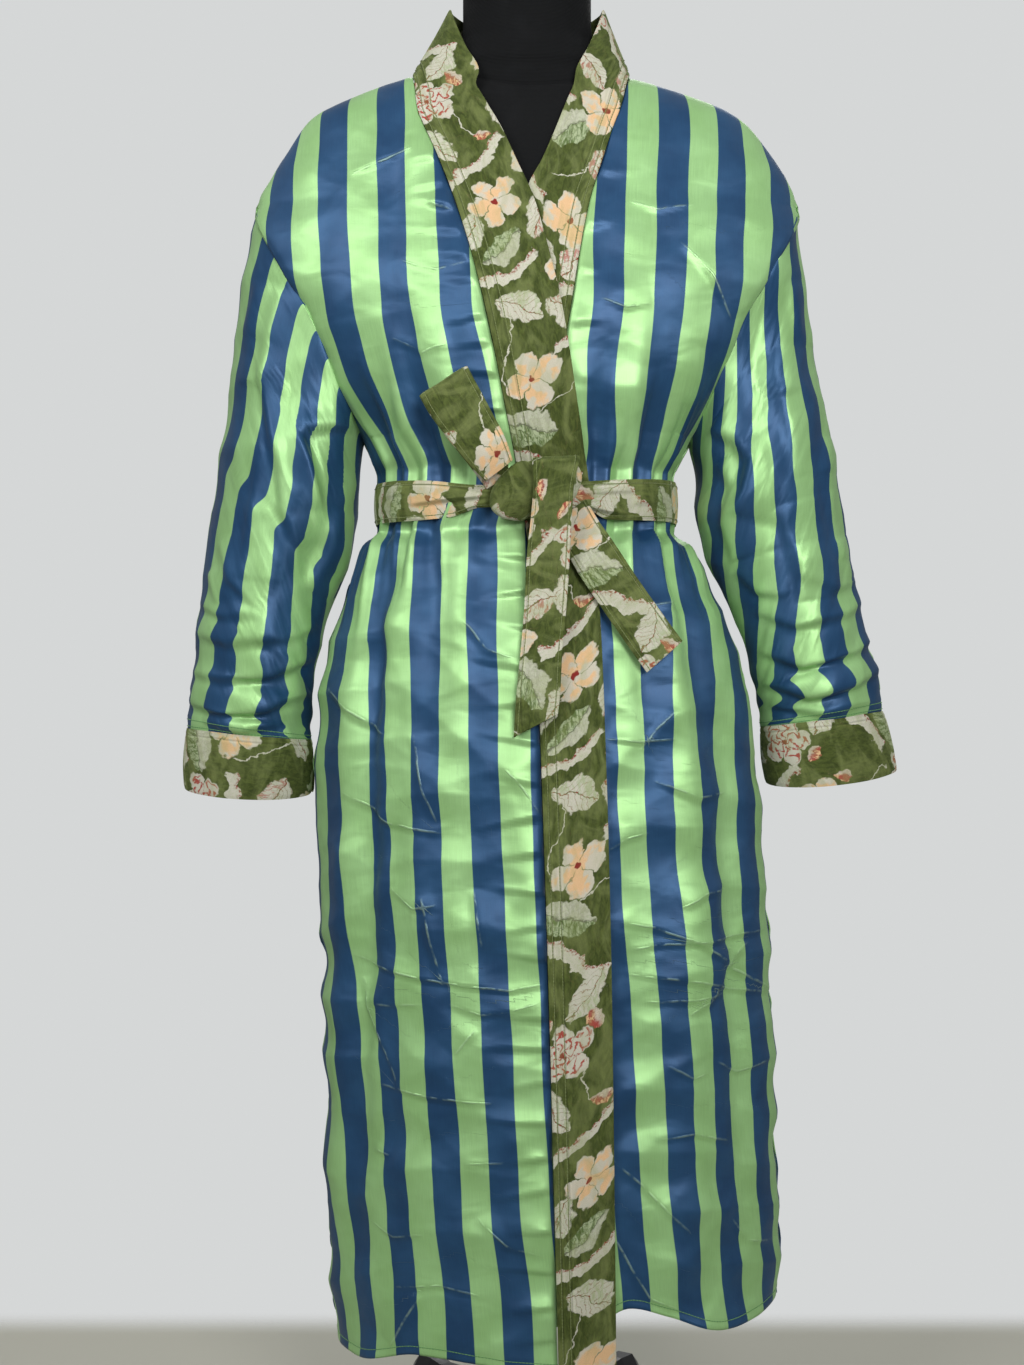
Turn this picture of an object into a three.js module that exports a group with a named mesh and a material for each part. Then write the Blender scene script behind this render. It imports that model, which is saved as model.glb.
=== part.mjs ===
import * as THREE from 'three';

// Ankle-length kimono robe of striped satin with a velvet band, cuffs and tied belt, worn by a
// limbless dress form on a pole stand. Millimetres, +Z up, the front faces -Y and the floor is Z = 0.
// "over" is the wearer's right front, which laps over the wearer's left front, "under".

// ---- driving sizes -------------------------------------------------------------------------
const SATIN = 1.4;            // wall of the striped cloth
const VELVET = 2.6;           // wall of the band, cuffs and belt, which are folded double
const SEAM_GAP = 0.45;        // space between two pieces that are sewn together
const BAND_SEAM_GAP = 0.9;    // the same between a front and the thicker band
const BAND_BACK_GAP = 0.9;    // height of the collar's edge above the back's neck edge
const ARMHOLE_GAP = 1.1;      // space between a panel's armhole edge and the sleeve
const ARMHOLE_DROP = 0.3;     // how far the sleeve's ring hangs below the armhole
const ROUNDNESS = 2.3;        // exponent of the body's cross-sections, 2 being an ellipse
const SHOULDER_TIP = 270;     // half-width where the dropped shoulders meet the sleeves
const ARMHOLE = { top: 1230, bottom: 1000, depth: 75 };
const NECK_SIDE = 1364;       // height at which the shoulder ridge reaches the band
const NECK_RISE = 9;          // how much higher the band's seam is at the centre back
const OVER_LIFT = 5;          // how far the over front lies outside the under front
const OVER_RISE = { start: -132, width: 36 };  // where in x the over front rises to that lift
const BAND_LIFT = 0.4;        // how far a band stands proud of its own front
const HEM_LEVEL = 130;        // the row level that falls on the hem

// Sections of the body of the robe, outside face: half-widths of its left and right edge as seen
// from the front, and depths to the front and the back of the middle. Above the shoulder tips the
// edge is the shoulder ridge, down to the underarm it is the armhole seam, then the side seam.
const BODY = [
  { z: 1375, left: 110, right: 102, front: 36, back: 72 },
  { z: 1364, left: 112, right: 104, front: 42, back: 73 },
  { z: 1352, left: 148, right: 135, front: 53, back: 79 },
  { z: 1342, left: 174, right: 166, front: 60, back: 84 },
  { z: 1317, left: 221, right: 217, front: 75, back: 96 },
  { z: 1282, left: 243, right: 247, front: 88, back: 106 },
  { z: 1230, left: 270, right: 270, front: 101, back: 113 },
  { z: 1160, left: 239, right: 239, front: 119, back: 115 },
  { z: 1124, left: 218, right: 218, front: 128, back: 111 },
  { z: 1088, left: 201, right: 201, front: 130, back: 106 },
  { z: 1051, left: 187, right: 187, front: 127, back: 101 },
  { z: 1000, left: 164, right: 164, front: 118, back: 97 },
  { z: 978, left: 154, right: 152, front: 112, back: 95 },
  { z: 964, left: 147, right: 145, front: 108, back: 94 },
  { z: 908, left: 147, right: 145, front: 108, back: 94 },
  { z: 893, left: 162, right: 167, front: 114, back: 102 },
  { z: 848, left: 182, right: 188, front: 127, back: 118 },
  { z: 802, left: 197, right: 208, front: 138, back: 132 },
  { z: 742, left: 209, right: 222, front: 146, back: 142 },
  { z: 662, left: 212, right: 231, front: 150, back: 147 },
  { z: 582, left: 209, right: 238, front: 152, back: 150 },
  { z: 462, left: 204, right: 243, front: 153, back: 152 },
  { z: 342, left: 202, right: 248, front: 154, back: 153 },
  { z: 192, left: 197, right: 253, front: 155, back: 154 },
  { z: 112, left: 190, right: 248, front: 155, back: 153 },
];

// Seam and free edge of each band, by height. The bands cross at the foot of the V-neck.
const OVER_SEAM = [
  { z: 1364, x: -111 }, { z: 1343, x: -107 }, { z: 1319, x: -104 }, { z: 1297, x: -96 },
  { z: 1265, x: -83 }, { z: 1223, x: -68 }, { z: 1172, x: -53 }, { z: 1122, x: -41 },
  { z: 1074, x: -31 }, { z: 1026, x: -22 }, { z: 960, x: -10 }, { z: 840, x: 5 },
  { z: 688, x: 11 }, { z: 464, x: 18 }, { z: 112, x: 27 },
];
const OVER_FREE = [
  { z: 1350, x: -50 }, { z: 1317, x: -35 }, { z: 1295, x: -24 }, { z: 1263, x: -11 },
  { z: 1221, x: 6 }, { z: 1171, x: 19 }, { z: 1122, x: 30 }, { z: 1073, x: 38 },
  { z: 1026, x: 45 }, { z: 988, x: 51 }, { z: 940, x: 57 }, { z: 837, x: 65 },
  { z: 744, x: 69 }, { z: 465, x: 76 }, { z: 112, x: 80 },
];
const UNDER_SEAM = [
  { z: 1364, x: 103 }, { z: 1343, x: 97 }, { z: 1319, x: 91 }, { z: 1297, x: 83 },
  { z: 1265, x: 73 }, { z: 1223, x: 60 }, { z: 1172, x: 50 }, { z: 1122, x: 42 },
  { z: 1074, x: 34 }, { z: 1026, x: 26 }, { z: 960, x: 14 }, { z: 840, x: 2 },
  { z: 688, x: -6 }, { z: 464, x: -12 }, { z: 112, x: -18 },
];
const UNDER_FREE = [
  { z: 1350, x: 47 }, { z: 1317, x: 35 }, { z: 1295, x: 27 }, { z: 1263, x: 14 },
  { z: 1235, x: 0 }, { z: 1171, x: -14 }, { z: 1122, x: -22 }, { z: 1073, x: -30 },
  { z: 1026, x: -37 }, { z: 988, x: -43 }, { z: 940, x: -49 }, { z: 837, x: -59 },
  { z: 744, x: -65 }, { z: 465, x: -73 }, { z: 112, x: -79 },
];

// Hem heights along x.
const OVER_HEM = [
  { x: -200, z: 117 }, { x: -170, z: 114 }, { x: -100, z: 131 }, { x: 0, z: 121 }, { x: 40, z: 118 },
];
const UNDER_HEM = [
  { x: -90, z: 158 }, { x: 60, z: 162 }, { x: 92, z: 176 }, { x: 130, z: 165 }, { x: 186, z: 147 },
  { x: 245, z: 158 },
];
const BACK_HEM = [
  { x: -200, z: 122 }, { x: -80, z: 130 }, { x: 60, z: 126 }, { x: 150, z: 136 }, { x: 250, z: 150 },
];

// Soft folds of the body: each runs from a start near the belt to an end, as a ridge or, where its
// height is negative, a hollow. Width is the distance at which it has faded to about a third.
const FOLDS = [
  // over front above the belt
  { face: 'front', x: -64, z: 968, endX: -84, endZ: 1110, height: 4.5, width: 11 },
  { face: 'front', x: -88, z: 966, endX: -118, endZ: 1140, height: -4, width: 10 },
  { face: 'front', x: -108, z: 966, endX: -140, endZ: 1120, height: 6, width: 11 },
  { face: 'front', x: -128, z: 966, endX: -168, endZ: 1070, height: -5, width: 9 },
  // under front above the belt
  { face: 'front', x: 62, z: 968, endX: 80, endZ: 1100, height: -4, width: 11 },
  { face: 'front', x: 86, z: 966, endX: 116, endZ: 1130, height: 5, width: 11 },
  { face: 'front', x: 108, z: 966, endX: 144, endZ: 1100, height: -4.5, width: 10 },
  { face: 'front', x: 126, z: 966, endX: 166, endZ: 1080, height: 5, width: 10 },
  // over front below the belt
  { face: 'front', x: -58, z: 905, endX: -66, endZ: 700, height: 4, width: 12 },
  { face: 'front', x: -84, z: 905, endX: -104, endZ: 640, height: -5, width: 12 },
  { face: 'front', x: -108, z: 905, endX: -142, endZ: 690, height: 6, width: 12 },
  { face: 'front', x: -128, z: 905, endX: -176, endZ: 600, height: -6, width: 11 },
  { face: 'front', x: -150, z: 800, endX: -168, endZ: 100, height: -9, width: 13 },
  { face: 'front', x: -168, z: 780, endX: -190, endZ: 60, height: 6, width: 13 },
  // under front below the belt
  { face: 'front', x: 96, z: 905, endX: 120, endZ: 650, height: -5, width: 12 },
  { face: 'front', x: 118, z: 905, endX: 160, endZ: 620, height: 6, width: 13 },
  { face: 'front', x: 134, z: 905, endX: 190, endZ: 640, height: -6, width: 12 },
  { face: 'front', x: 190, z: 760, endX: 214, endZ: 80, height: -8, width: 14 },
  { face: 'front', x: 150, z: 640, endX: 150, endZ: 60, height: 6, width: 22 },
  // back above the belt
  { face: 'back', x: -112, z: 966, endX: -150, endZ: 1130, height: 5, width: 12 },
  { face: 'back', x: -78, z: 966, endX: -100, endZ: 1160, height: -5, width: 13 },
  { face: 'back', x: -40, z: 966, endX: -46, endZ: 1120, height: 5, width: 13 },
  { face: 'back', x: 4, z: 966, endX: 8, endZ: 1170, height: -4, width: 14 },
  { face: 'back', x: 46, z: 966, endX: 58, endZ: 1120, height: 5, width: 13 },
  { face: 'back', x: 86, z: 966, endX: 112, endZ: 1150, height: -5, width: 13 },
  { face: 'back', x: 118, z: 966, endX: 156, endZ: 1110, height: 5, width: 11 },
  // back below the belt
  { face: 'back', x: -118, z: 905, endX: -176, endZ: 560, height: 6, width: 14 },
  { face: 'back', x: -86, z: 905, endX: -124, endZ: 420, height: -7, width: 16 },
  { face: 'back', x: -46, z: 905, endX: -66, endZ: 520, height: 6, width: 16 },
  { face: 'back', x: -6, z: 905, endX: -8, endZ: 300, height: -6, width: 18 },
  { face: 'back', x: 38, z: 905, endX: 60, endZ: 480, height: 6, width: 16 },
  { face: 'back', x: 80, z: 905, endX: 124, endZ: 360, height: -7, width: 17 },
  { face: 'back', x: 118, z: 905, endX: 186, endZ: 540, height: 6, width: 14 },
];
const EDGE_FADE = 26;         // folds die out this far from a side seam or an armhole
const FOLD_PEAK = 0.6;        // below 1 a fold is highest nearer its start

// Row levels of the panels between the underarm and the hem, closer where the belt gathers them.
const LOWER_LEVELS = [984, 961, 936, 911, 892, 862, 826, 780, 724, 650, 560, 460, 350, 240];
const UPPER_ROWS = 10;        // rows from the shoulder to the underarm, and half of a sleeve's columns
const OVER_COLUMNS = 15;
const UNDER_COLUMNS = 14;
const BACK_COLUMNS = 22;
const ROUNDING = 130;          // below the shoulder tips, the height over which columns turn to even spacing
const HALVINGS = 40;           // steps of the search for a column's top

// Sleeves: the outer and inner edges seen from the front, by height.
const SLEEVES = [
  {
    name: 'right', side: 'left',
    outer: [
      { z: 1230, x: -270 }, { z: 1192, x: -279 }, { z: 1142, x: -287 }, { z: 1042, x: -299 },
      { z: 972, x: -309 }, { z: 882, x: -322 }, { z: 792, x: -333 }, { z: 742, x: -339 },
      { z: 713, x: -341 },
    ],
    inner: [
      { z: 1000, x: -164 }, { z: 984, x: -167 }, { z: 962, x: -168 }, { z: 928, x: -169 },
      { z: 895, x: -174 }, { z: 852, x: -192 }, { z: 802, x: -204 }, { z: 742, x: -216 },
      { z: 701, x: -216 },
    ],
    cuff: { outer: { x: -342, z: 656 }, inner: { x: -217, z: 650 } },
  },
  {
    name: 'left', side: 'right',
    outer: [
      { z: 1230, x: 270 }, { z: 1192, x: 273 }, { z: 1142, x: 279 }, { z: 1042, x: 294 },
      { z: 972, x: 307 }, { z: 882, x: 321 }, { z: 842, x: 332 }, { z: 792, x: 341 },
      { z: 752, x: 354 }, { z: 730, x: 355 },
    ],
    inner: [
      { z: 1000, x: 164 }, { z: 984, x: 167 }, { z: 962, x: 168 }, { z: 928, x: 170 },
      { z: 893, x: 177 }, { z: 852, x: 194 }, { z: 802, x: 215 }, { z: 742, x: 230 },
      { z: 714, x: 234 },
    ],
    cuff: { outer: { x: 369, z: 674 }, inner: { x: 240, z: 660 } },
  },
];
const SLEEVE_DEPTH = [
  { share: 0, depth: 75 }, { share: 0.3, depth: 80 }, { share: 0.6, depth: 68 },
  { share: 0.85, depth: 54 }, { share: 1, depth: 47 },
];
const SLEEVE_SHARES = [0, 0.05, 0.11, 0.18, 0.26, 0.34, 0.42, 0.5, 0.58, 0.65, 0.71, 0.765, 0.81,
  0.85, 0.885, 0.92, 0.95, 0.975, 1];
const SLEEVE_POINTING = 0.22;  // how pointed the folded edges of a hanging sleeve are
const SLEEVE_HEAD = 0.18;      // share of the length over which a sleeve leaves its armhole's ring
const SLEEVE_FLAT_BY = 0.5;    // share of the length by which the edges are fully pointed
const BUNCH_AT_EDGE = 0.4;     // how much of a bunched fold's height shows at the folded edges
const SLEEVE_BACKSET = 8;      // how far the cuffs hang behind the armholes
// Bunched folds above the cuffs, by share of the sleeve's length.
const SLEEVE_BUNCHES = [
  { share: 0.8, height: 4, width: 0.03 }, { share: 0.86, height: -4, width: 0.025 },
  { share: 0.905, height: 5, width: 0.025 }, { share: 0.95, height: -4.5, width: 0.02 },
  { share: 0.98, height: 3, width: 0.015 },
];
// Hollow in the front of a sleeve below the fold that is dragged down from the underarm.
const DRAG = { share: 0.2, height: 0.22, start: 0.1, depth: 14 };
const CUFF_FRONT_DROP = 8;     // how much lower the front of a cuff's mouth is
const CUFF_PROUD = 0.8;

// Belt.
const BELT = {
  bottom: 915, top: 956, pinchedBottom: 922, pinchedTop: 948, pinch: 60,
  sideLift: 4.2, frontLift: 9.4, frontReach: 142, frontFade: 30,
};
const BELT_COLUMNS = 40;

// Dress form: half-width and depths by height, and the neck above.
const FORM = [
  { z: 1442, half: 64, front: 53, back: 58 },
  { z: 1420, half: 64, front: 53, back: 58 },
  { z: 1400, half: 66, front: 53, back: 59 },
  { z: 1386, half: 72, front: 54, back: 60 },
  { z: 1375, half: 82, front: 54, back: 61 },
  { z: 1364, half: 91, front: 52, back: 61 },
  { z: 1352, half: 118, front: 52, back: 65 },
  { z: 1342, half: 149, front: 53, back: 71 },
  { z: 1330, half: 176, front: 57, back: 79 },
  { z: 1314, half: 192, front: 65, back: 87 },
  { z: 1282, half: 198, front: 79, back: 97 },
  { z: 1235, half: 190, front: 92, back: 103 },
  { z: 1180, half: 170, front: 110, back: 105 },
  { z: 1120, half: 152, front: 120, back: 100 },
  { z: 1060, half: 140, front: 113, back: 92 },
  { z: 1000, half: 133, front: 103, back: 87 },
  { z: 950, half: 131, front: 97, back: 85 },
  { z: 900, half: 137, front: 99, back: 92 },
  { z: 845, half: 152, front: 106, back: 107 },
  { z: 780, half: 168, front: 115, back: 124 },
  { z: 720, half: 173, front: 117, back: 130 },
  { z: 660, half: 169, front: 114, back: 127 },
  { z: 615, half: 161, front: 108, back: 119 },
  { z: 600, half: 152, front: 100, back: 110 },
];
const FORM_ROUNDNESS = 2.1;
const FORM_COLUMNS = 28;
const NECK_CAP = { bottom: 1442.3, top: 1468, half: 58, depth: 52, y: 2.5, segments: 20 };
const NECK_CAP_RINGS = [[NECK_CAP.top, 0.8], [NECK_CAP.top - 5, 0.96], [NECK_CAP.bottom + 4, 1], [NECK_CAP.bottom, 1]];
const POLE = { radius: 16, bottom: 76.3, top: 599.7, segments: 20 };
const HUB = [[34, 0], [37, 5], [37, 42], [30, 60], [23, 70], [20, 76]];   // radius and height
const HUB_SEGMENTS = 24;
const FOOT_COUNT = 5;
const FOOT_START = -Math.PI / 2;
// Each foot of the stand: sections along its length, and the corners of a section as shares of them.
const FOOT = [
  { reach: 37.4, half: 13, low: 12, high: 40 }, { reach: 70, half: 12, low: 18, high: 48 },
  { reach: 110, half: 11, low: 16, high: 46 }, { reach: 145, half: 12, low: 6, high: 43 },
  { reach: 160, half: 15, low: 0, high: 46 }, { reach: 180, half: 16, low: 0, high: 46 },
  { reach: 194, half: 11, low: 2, high: 34 },
];
const FOOT_CORNERS = [[1, 0.45], [0.55, 1], [-0.55, 1], [-1, 0.45], [-1, -0.55], [-0.6, -1], [0.6, -1], [1, -0.55]];

// ---- colours -------------------------------------------------------------------------------
const satin = { color: 0x7fb56a, roughness: 0.35, metalness: 0 };
const velvet = { color: 0x4a5a26, roughness: 0.95, metalness: 0 };
const formCloth = { color: 0x17181a, roughness: 0.8, metalness: 0 };
const steel = { color: 0x101112, roughness: 0.45, metalness: 0.3 };

// ---- helpers -------------------------------------------------------------------------------
const mix = (a, b, share) => a + (b - a) * share;
const clamp01 = (value) => Math.min(1, Math.max(0, value));
const ease = (value) => {
  const share = clamp01(value);
  return share * share * (3 - 2 * share);
};
const bell = (distance, width) => Math.exp(-((distance / width) ** 2));

// A smooth curve through one column of a table, held level past its ends.
function curveOf(rows, key, column) {
  const points = rows.map((row) => [row[key], row[column]]).sort((a, b) => a[0] - b[0]);
  const slopes = points.slice(1).map((point, i) => (point[1] - points[i][1]) / (point[0] - points[i][0]));
  const tangents = points.map((point, i) => {
    const before = slopes[Math.max(i - 1, 0)];
    const after = slopes[Math.min(i, slopes.length - 1)];
    return before * after <= 0 ? 0 : (2 * before * after) / (before + after);
  });
  return (at) => {
    const last = points.length - 1;
    if (at <= points[0][0]) return points[0][1];
    if (at >= points[last][0]) return points[last][1];
    const i = points.findIndex((point) => point[0] > at) - 1;
    const span = points[i + 1][0] - points[i][0];
    const t = (at - points[i][0]) / span;
    const start = points[i][1] * (1 + 2 * t) * (1 - t) ** 2 + tangents[i] * span * t * (1 - t) ** 2;
    const end = points[i + 1][1] * t * t * (3 - 2 * t) + tangents[i + 1] * span * t * t * (t - 1);
    return start + end;
  };
}

// A closed mesh from vertices and index triples.
function mesh(name, vertices, triangles, look) {
  const geometry = new THREE.BufferGeometry();
  geometry.setAttribute('position', new THREE.Float32BufferAttribute(vertices.flatMap((v) => v.toArray()), 3));
  geometry.setIndex(triangles.flat());
  geometry.computeVertexNormals();
  const result = new THREE.Mesh(geometry, new THREE.MeshStandardMaterial(look));
  result.name = name;
  return result;
}

// Unit normals of a grid whose columns crossed with its rows point outwards.
function gridNormals(grid, closed, straighten) {
  const rows = grid.length;
  const columns = grid[0].length;
  return grid.map((row, i) => row.map((point, j) => {
    const above = grid[Math.max(i - 1, 0)][j];
    const below = grid[Math.min(i + 1, rows - 1)][j];
    const before = row[closed ? (j - 1 + columns) % columns : Math.max(j - 1, 0)];
    const after = row[closed ? (j + 1) % columns : Math.min(j + 1, columns - 1)];
    const along = new THREE.Vector3().subVectors(after, before);
    const normal = along.cross(new THREE.Vector3().subVectors(below, above));
    if (straighten && straighten(i, j)) normal.y = 0;
    return normal.normalize();
  }));
}

// A wall of cloth: the grid is its outer face, and the inner face lies a thickness inside it.
function wall(name, grid, thickness, look, { closed = false, straighten } = {}) {
  const rows = grid.length;
  const columns = grid[0].length;
  const normals = gridNormals(grid, closed, straighten);
  const outer = grid.flat();
  const inner = grid.flatMap((row, i) => row.map((p, j) => p.clone().addScaledVector(normals[i][j], -thickness)));
  const at = (i, j) => i * columns + (j % columns);
  const hid = (i, j) => outer.length + at(i, j);
  const triangles = [];
  const quad = (a, b, c, d) => triangles.push([a, b, c], [a, c, d]);
  const spans = closed ? columns : columns - 1;
  for (let i = 0; i < rows - 1; i++) {
    for (let j = 0; j < spans; j++) {
      quad(at(i, j), at(i, j + 1), at(i + 1, j + 1), at(i + 1, j));
      quad(hid(i, j), hid(i + 1, j), hid(i + 1, j + 1), hid(i, j + 1));
    }
  }
  for (let j = 0; j < spans; j++) {
    quad(at(0, j), hid(0, j), hid(0, j + 1), at(0, j + 1));
    quad(at(rows - 1, j), at(rows - 1, j + 1), hid(rows - 1, j + 1), hid(rows - 1, j));
  }
  for (let i = 0; i < rows - 1 && !closed; i++) {
    quad(at(i, 0), at(i + 1, 0), hid(i + 1, 0), hid(i, 0));
    quad(at(i, spans), hid(i, spans), hid(i + 1, spans), at(i + 1, spans));
  }
  return mesh(name, [...outer, ...inner], triangles, look);
}

// A solid from closed rings, listed from the top down, with its ends filled in.
function loft(name, rings, look) {
  const columns = rings[0].length;
  const vertices = rings.flat();
  const triangles = [];
  for (let i = 0; i < rings.length - 1; i++) {
    for (let j = 0; j < columns; j++) {
      const [a, b] = [i * columns + j, i * columns + ((j + 1) % columns)];
      triangles.push([a, b, b + columns], [a, b + columns, a + columns]);
    }
  }
  const cap = (ring, first, turned) => {
    const middle = ring.reduce((sum, point) => sum.add(point), new THREE.Vector3()).divideScalar(columns);
    vertices.push(middle);
    for (let j = 0; j < columns; j++) {
      const pair = [first + j, first + ((j + 1) % columns)];
      triangles.push(turned ? [vertices.length - 1, ...pair] : [vertices.length - 1, pair[1], pair[0]]);
    }
  };
  cap(rings[0], 0, false);
  cap(rings[rings.length - 1], (rings.length - 1) * columns, true);
  return mesh(name, vertices, triangles, look);
}

// ---- body surface --------------------------------------------------------------------------
const body = Object.fromEntries(['left', 'right', 'front', 'back'].map((name) => [name, curveOf(BODY, 'z', name)]));
const armholeMiddle = (ARMHOLE.top + ARMHOLE.bottom) / 2;
const armholeHalf = (ARMHOLE.top - ARMHOLE.bottom) / 2;

function armholeDepth(z) {
  const share = (z - armholeMiddle) / armholeHalf;
  return Math.abs(share) >= 1 ? 0 : ARMHOLE.depth * Math.sqrt(1 - share * share);
}

// Half-width of the full cross-section, which the armhole cuts short.
function halfWidth(side, face, z) {
  const cut = armholeDepth(z) / body[face](z);
  return body[side](z) / (1 - cut ** ROUNDNESS) ** (1 / ROUNDNESS);
}

const sideOf = (x) => (x < 0 ? 'left' : 'right');

function depthAt(face, x, z) {
  const share = Math.min(1, Math.abs(x) / halfWidth(sideOf(x), face, z));
  return body[face](z) * (1 - share ** ROUNDNESS) ** (1 / ROUNDNESS);
}

function foldHeight(face, x, z, y) {
  const toEdge = z > ARMHOLE.bottom ? body[sideOf(x)](Math.min(z, ARMHOLE.top)) - Math.abs(x) : y;
  const fade = ease(toEdge / EDGE_FADE);
  let height = 0;
  for (const fold of FOLDS) {
    const along = (z - fold.z) / (fold.endZ - fold.z);
    if (fold.face !== face || along <= 0 || along >= 1) continue;
    const rise = Math.sin(Math.PI * along ** FOLD_PEAK);
    height += fold.height * rise * bell(x - mix(fold.x, fold.endX, along), fold.width);
  }
  return height * fade;
}

// A point of the outer face of the body, moved out by a lift.
function bodyPoint(face, x, z, lift = 0) {
  const y = depthAt(face, x, z);
  const radius = Math.hypot(x, y);
  const grow = 1 + (lift + foldHeight(face, x, z, y)) / radius;
  return new THREE.Vector3(x * grow, (face === 'front' ? -y : y) * grow, z);
}

// The over front rises over the under front towards the middle.
const overLift = (x) => OVER_LIFT * ease((x - OVER_RISE.start) / OVER_RISE.width);

// Turn of a point round its section: 0 at the left edge, PI at the right edge.
function turnOf(face, x, z) {
  const share = Math.min(1, Math.abs(x) / halfWidth(sideOf(x), face, z));
  const turn = Math.acos(share ** (ROUNDNESS / 2));
  return x < 0 ? turn : Math.PI - turn;
}
function xOfTurn(face, turn, z) {
  const side = turn < Math.PI / 2 ? 'left' : 'right';
  const reach = halfWidth(side, face, z) * Math.abs(Math.cos(turn)) ** (2 / ROUNDNESS);
  return side === 'left' ? -reach : reach;
}

// Where column "share" of a panel lies at a height: evenly spread in x at the shoulders and round
// the section below them. The panel's edges are functions of height.
function columnX(face, edges, share, z) {
  const [start, end] = [edges[0](z), edges[1](z)];
  const straight = mix(start, end, share);
  if (z >= ARMHOLE.top) return straight;
  const round = xOfTurn(face, mix(turnOf(face, start, z), turnOf(face, end, z), share), z);
  return mix(straight, round, ease((ARMHOLE.top - z) / ROUNDING));
}

// Height at which a column reaches the shoulder ridge or the neck seam.
function columnTop(face, edges, share) {
  let low = ARMHOLE.top;
  let high = NECK_SIDE;
  for (let step = 0; step < HALVINGS; step++) {
    const z = (low + high) / 2;
    const x = columnX(face, edges, share, z);
    if (Math.abs(x) > body[sideOf(x)](z)) high = z;
    else low = z;
  }
  const x = columnX(face, edges, share, low);
  const inNeck = 1 - (x / body[sideOf(x)](NECK_SIDE)) ** 2;
  return inNeck > 0 && face === 'back' ? NECK_SIDE + NECK_RISE * inNeck : low;
}

// Heights of one column's points, from the shoulder to the hem.
function columnHeights(face, edges, hem, share) {
  const top = columnTop(face, edges, share);
  const foot = hem(columnX(face, edges, share, HEM_LEVEL));
  const heights = [];
  for (let row = 0; row <= UPPER_ROWS; row++) {
    heights.push(mix(top, ARMHOLE.bottom, (1 - Math.cos((Math.PI * row) / UPPER_ROWS)) / 2));
  }
  for (const level of [...LOWER_LEVELS, HEM_LEVEL]) {
    heights.push(mix(ARMHOLE.bottom, foot, (ARMHOLE.bottom - level) / (ARMHOLE.bottom - HEM_LEVEL)));
  }
  return heights;
}

// A panel from the shoulder to the hem, as a grid of rows and columns.
function panelGrid(face, edges, hem, columns, lift) {
  const sign = face === 'front' ? -1 : 1;
  const lines = [];
  for (let column = 0; column <= columns; column++) {
    const share = column / columns;
    lines.push(columnHeights(face, edges, hem, share).map((z) => {
      const x = columnX(face, edges, share, z);
      const point = bodyPoint(face, x, z, lift(x));
      point.y += (sign * SEAM_GAP) / 2;
      return point;
    }));
  }
  return lines[0].map((_, row) => lines.map((line) => line[row]));
}

const edgeLine = (side) => (z) => (side === 'left' ? -1 : 1) * (z >= ARMHOLE.top ? SHOULDER_TIP : body[side](z));
const overSeam = curveOf(OVER_SEAM, 'z', 'x');
const overFree = curveOf(OVER_FREE, 'z', 'x');
const underSeam = curveOf(UNDER_SEAM, 'z', 'x');
const underFree = curveOf(UNDER_FREE, 'z', 'x');
const overHem = curveOf(OVER_HEM, 'x', 'z');
const underHem = curveOf(UNDER_HEM, 'x', 'z');
const backHem = curveOf(BACK_HEM, 'x', 'z');

function panels() {
  const over = panelGrid('front', [overSeam, edgeLine('left')], overHem, OVER_COLUMNS, overLift);
  const under = panelGrid('front', [edgeLine('right'), underSeam], underHem, UNDER_COLUMNS, () => 0);
  const back = panelGrid('back', [edgeLine('left'), edgeLine('right')], backHem, BACK_COLUMNS, () => 0);
  const onSide = (i, j, ends) => i === 0 || (i >= UPPER_ROWS && ends.includes(j));
  return [
    wall('front_over', over, SATIN, satin, { straighten: (i, j) => onSide(i, j, [OVER_COLUMNS]) }),
    wall('front_under', under, SATIN, satin, { straighten: (i, j) => onSide(i, j, [0]) }),
    wall('back', back, SATIN, satin, {
      straighten: (i, j) => onSide(i, j, [0, BACK_COLUMNS]) && !(i === 0 && back[0][j].z > NECK_SIDE),
    }),
  ];
}

// ---- bands ---------------------------------------------------------------------------------
// The standing collar part of a band, seam edge then free edge, for the over (left) side.
const COLLAR = [
  { seamX: 0.5, free: [0.5, 68, 1426] },
  { seamX: 40, free: [36, 63, 1428] },
  { seamX: 76, free: [61, 44, 1431] },
  { seamX: 101, free: [75, 18, 1433] },
];
// Free edge of the collar from the neck side down to the chest, by the height of the seam.
const COLLAR_FRONT = [
  { z: 1364, x: 77, y: -6, freeZ: 1431 },
  { z: 1353, x: 71, y: -27, freeZ: 1412 },
  { z: 1340, x: 60, y: -46, freeZ: 1384 },
  { z: 1326, x: 47, y: -62, freeZ: 1356 },
];
const COLLAR_END = 1320;      // seam height below which the whole band lies on the chest
const BAND_COLUMNS = 4;

// Height gained from the seam to the free edge, because the band slants down the chest.
const bandRise = curveOf([{ z: 1321, rise: 31 }, { z: 1270, rise: 24 }, { z: 1150, rise: 16 },
  { z: 1005, rise: 8 }, { z: 980, rise: 0 }], 'z', 'rise');
const collarFree = ['x', 'y', 'freeZ'].map((name) => curveOf(COLLAR_FRONT, 'z', name));

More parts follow.
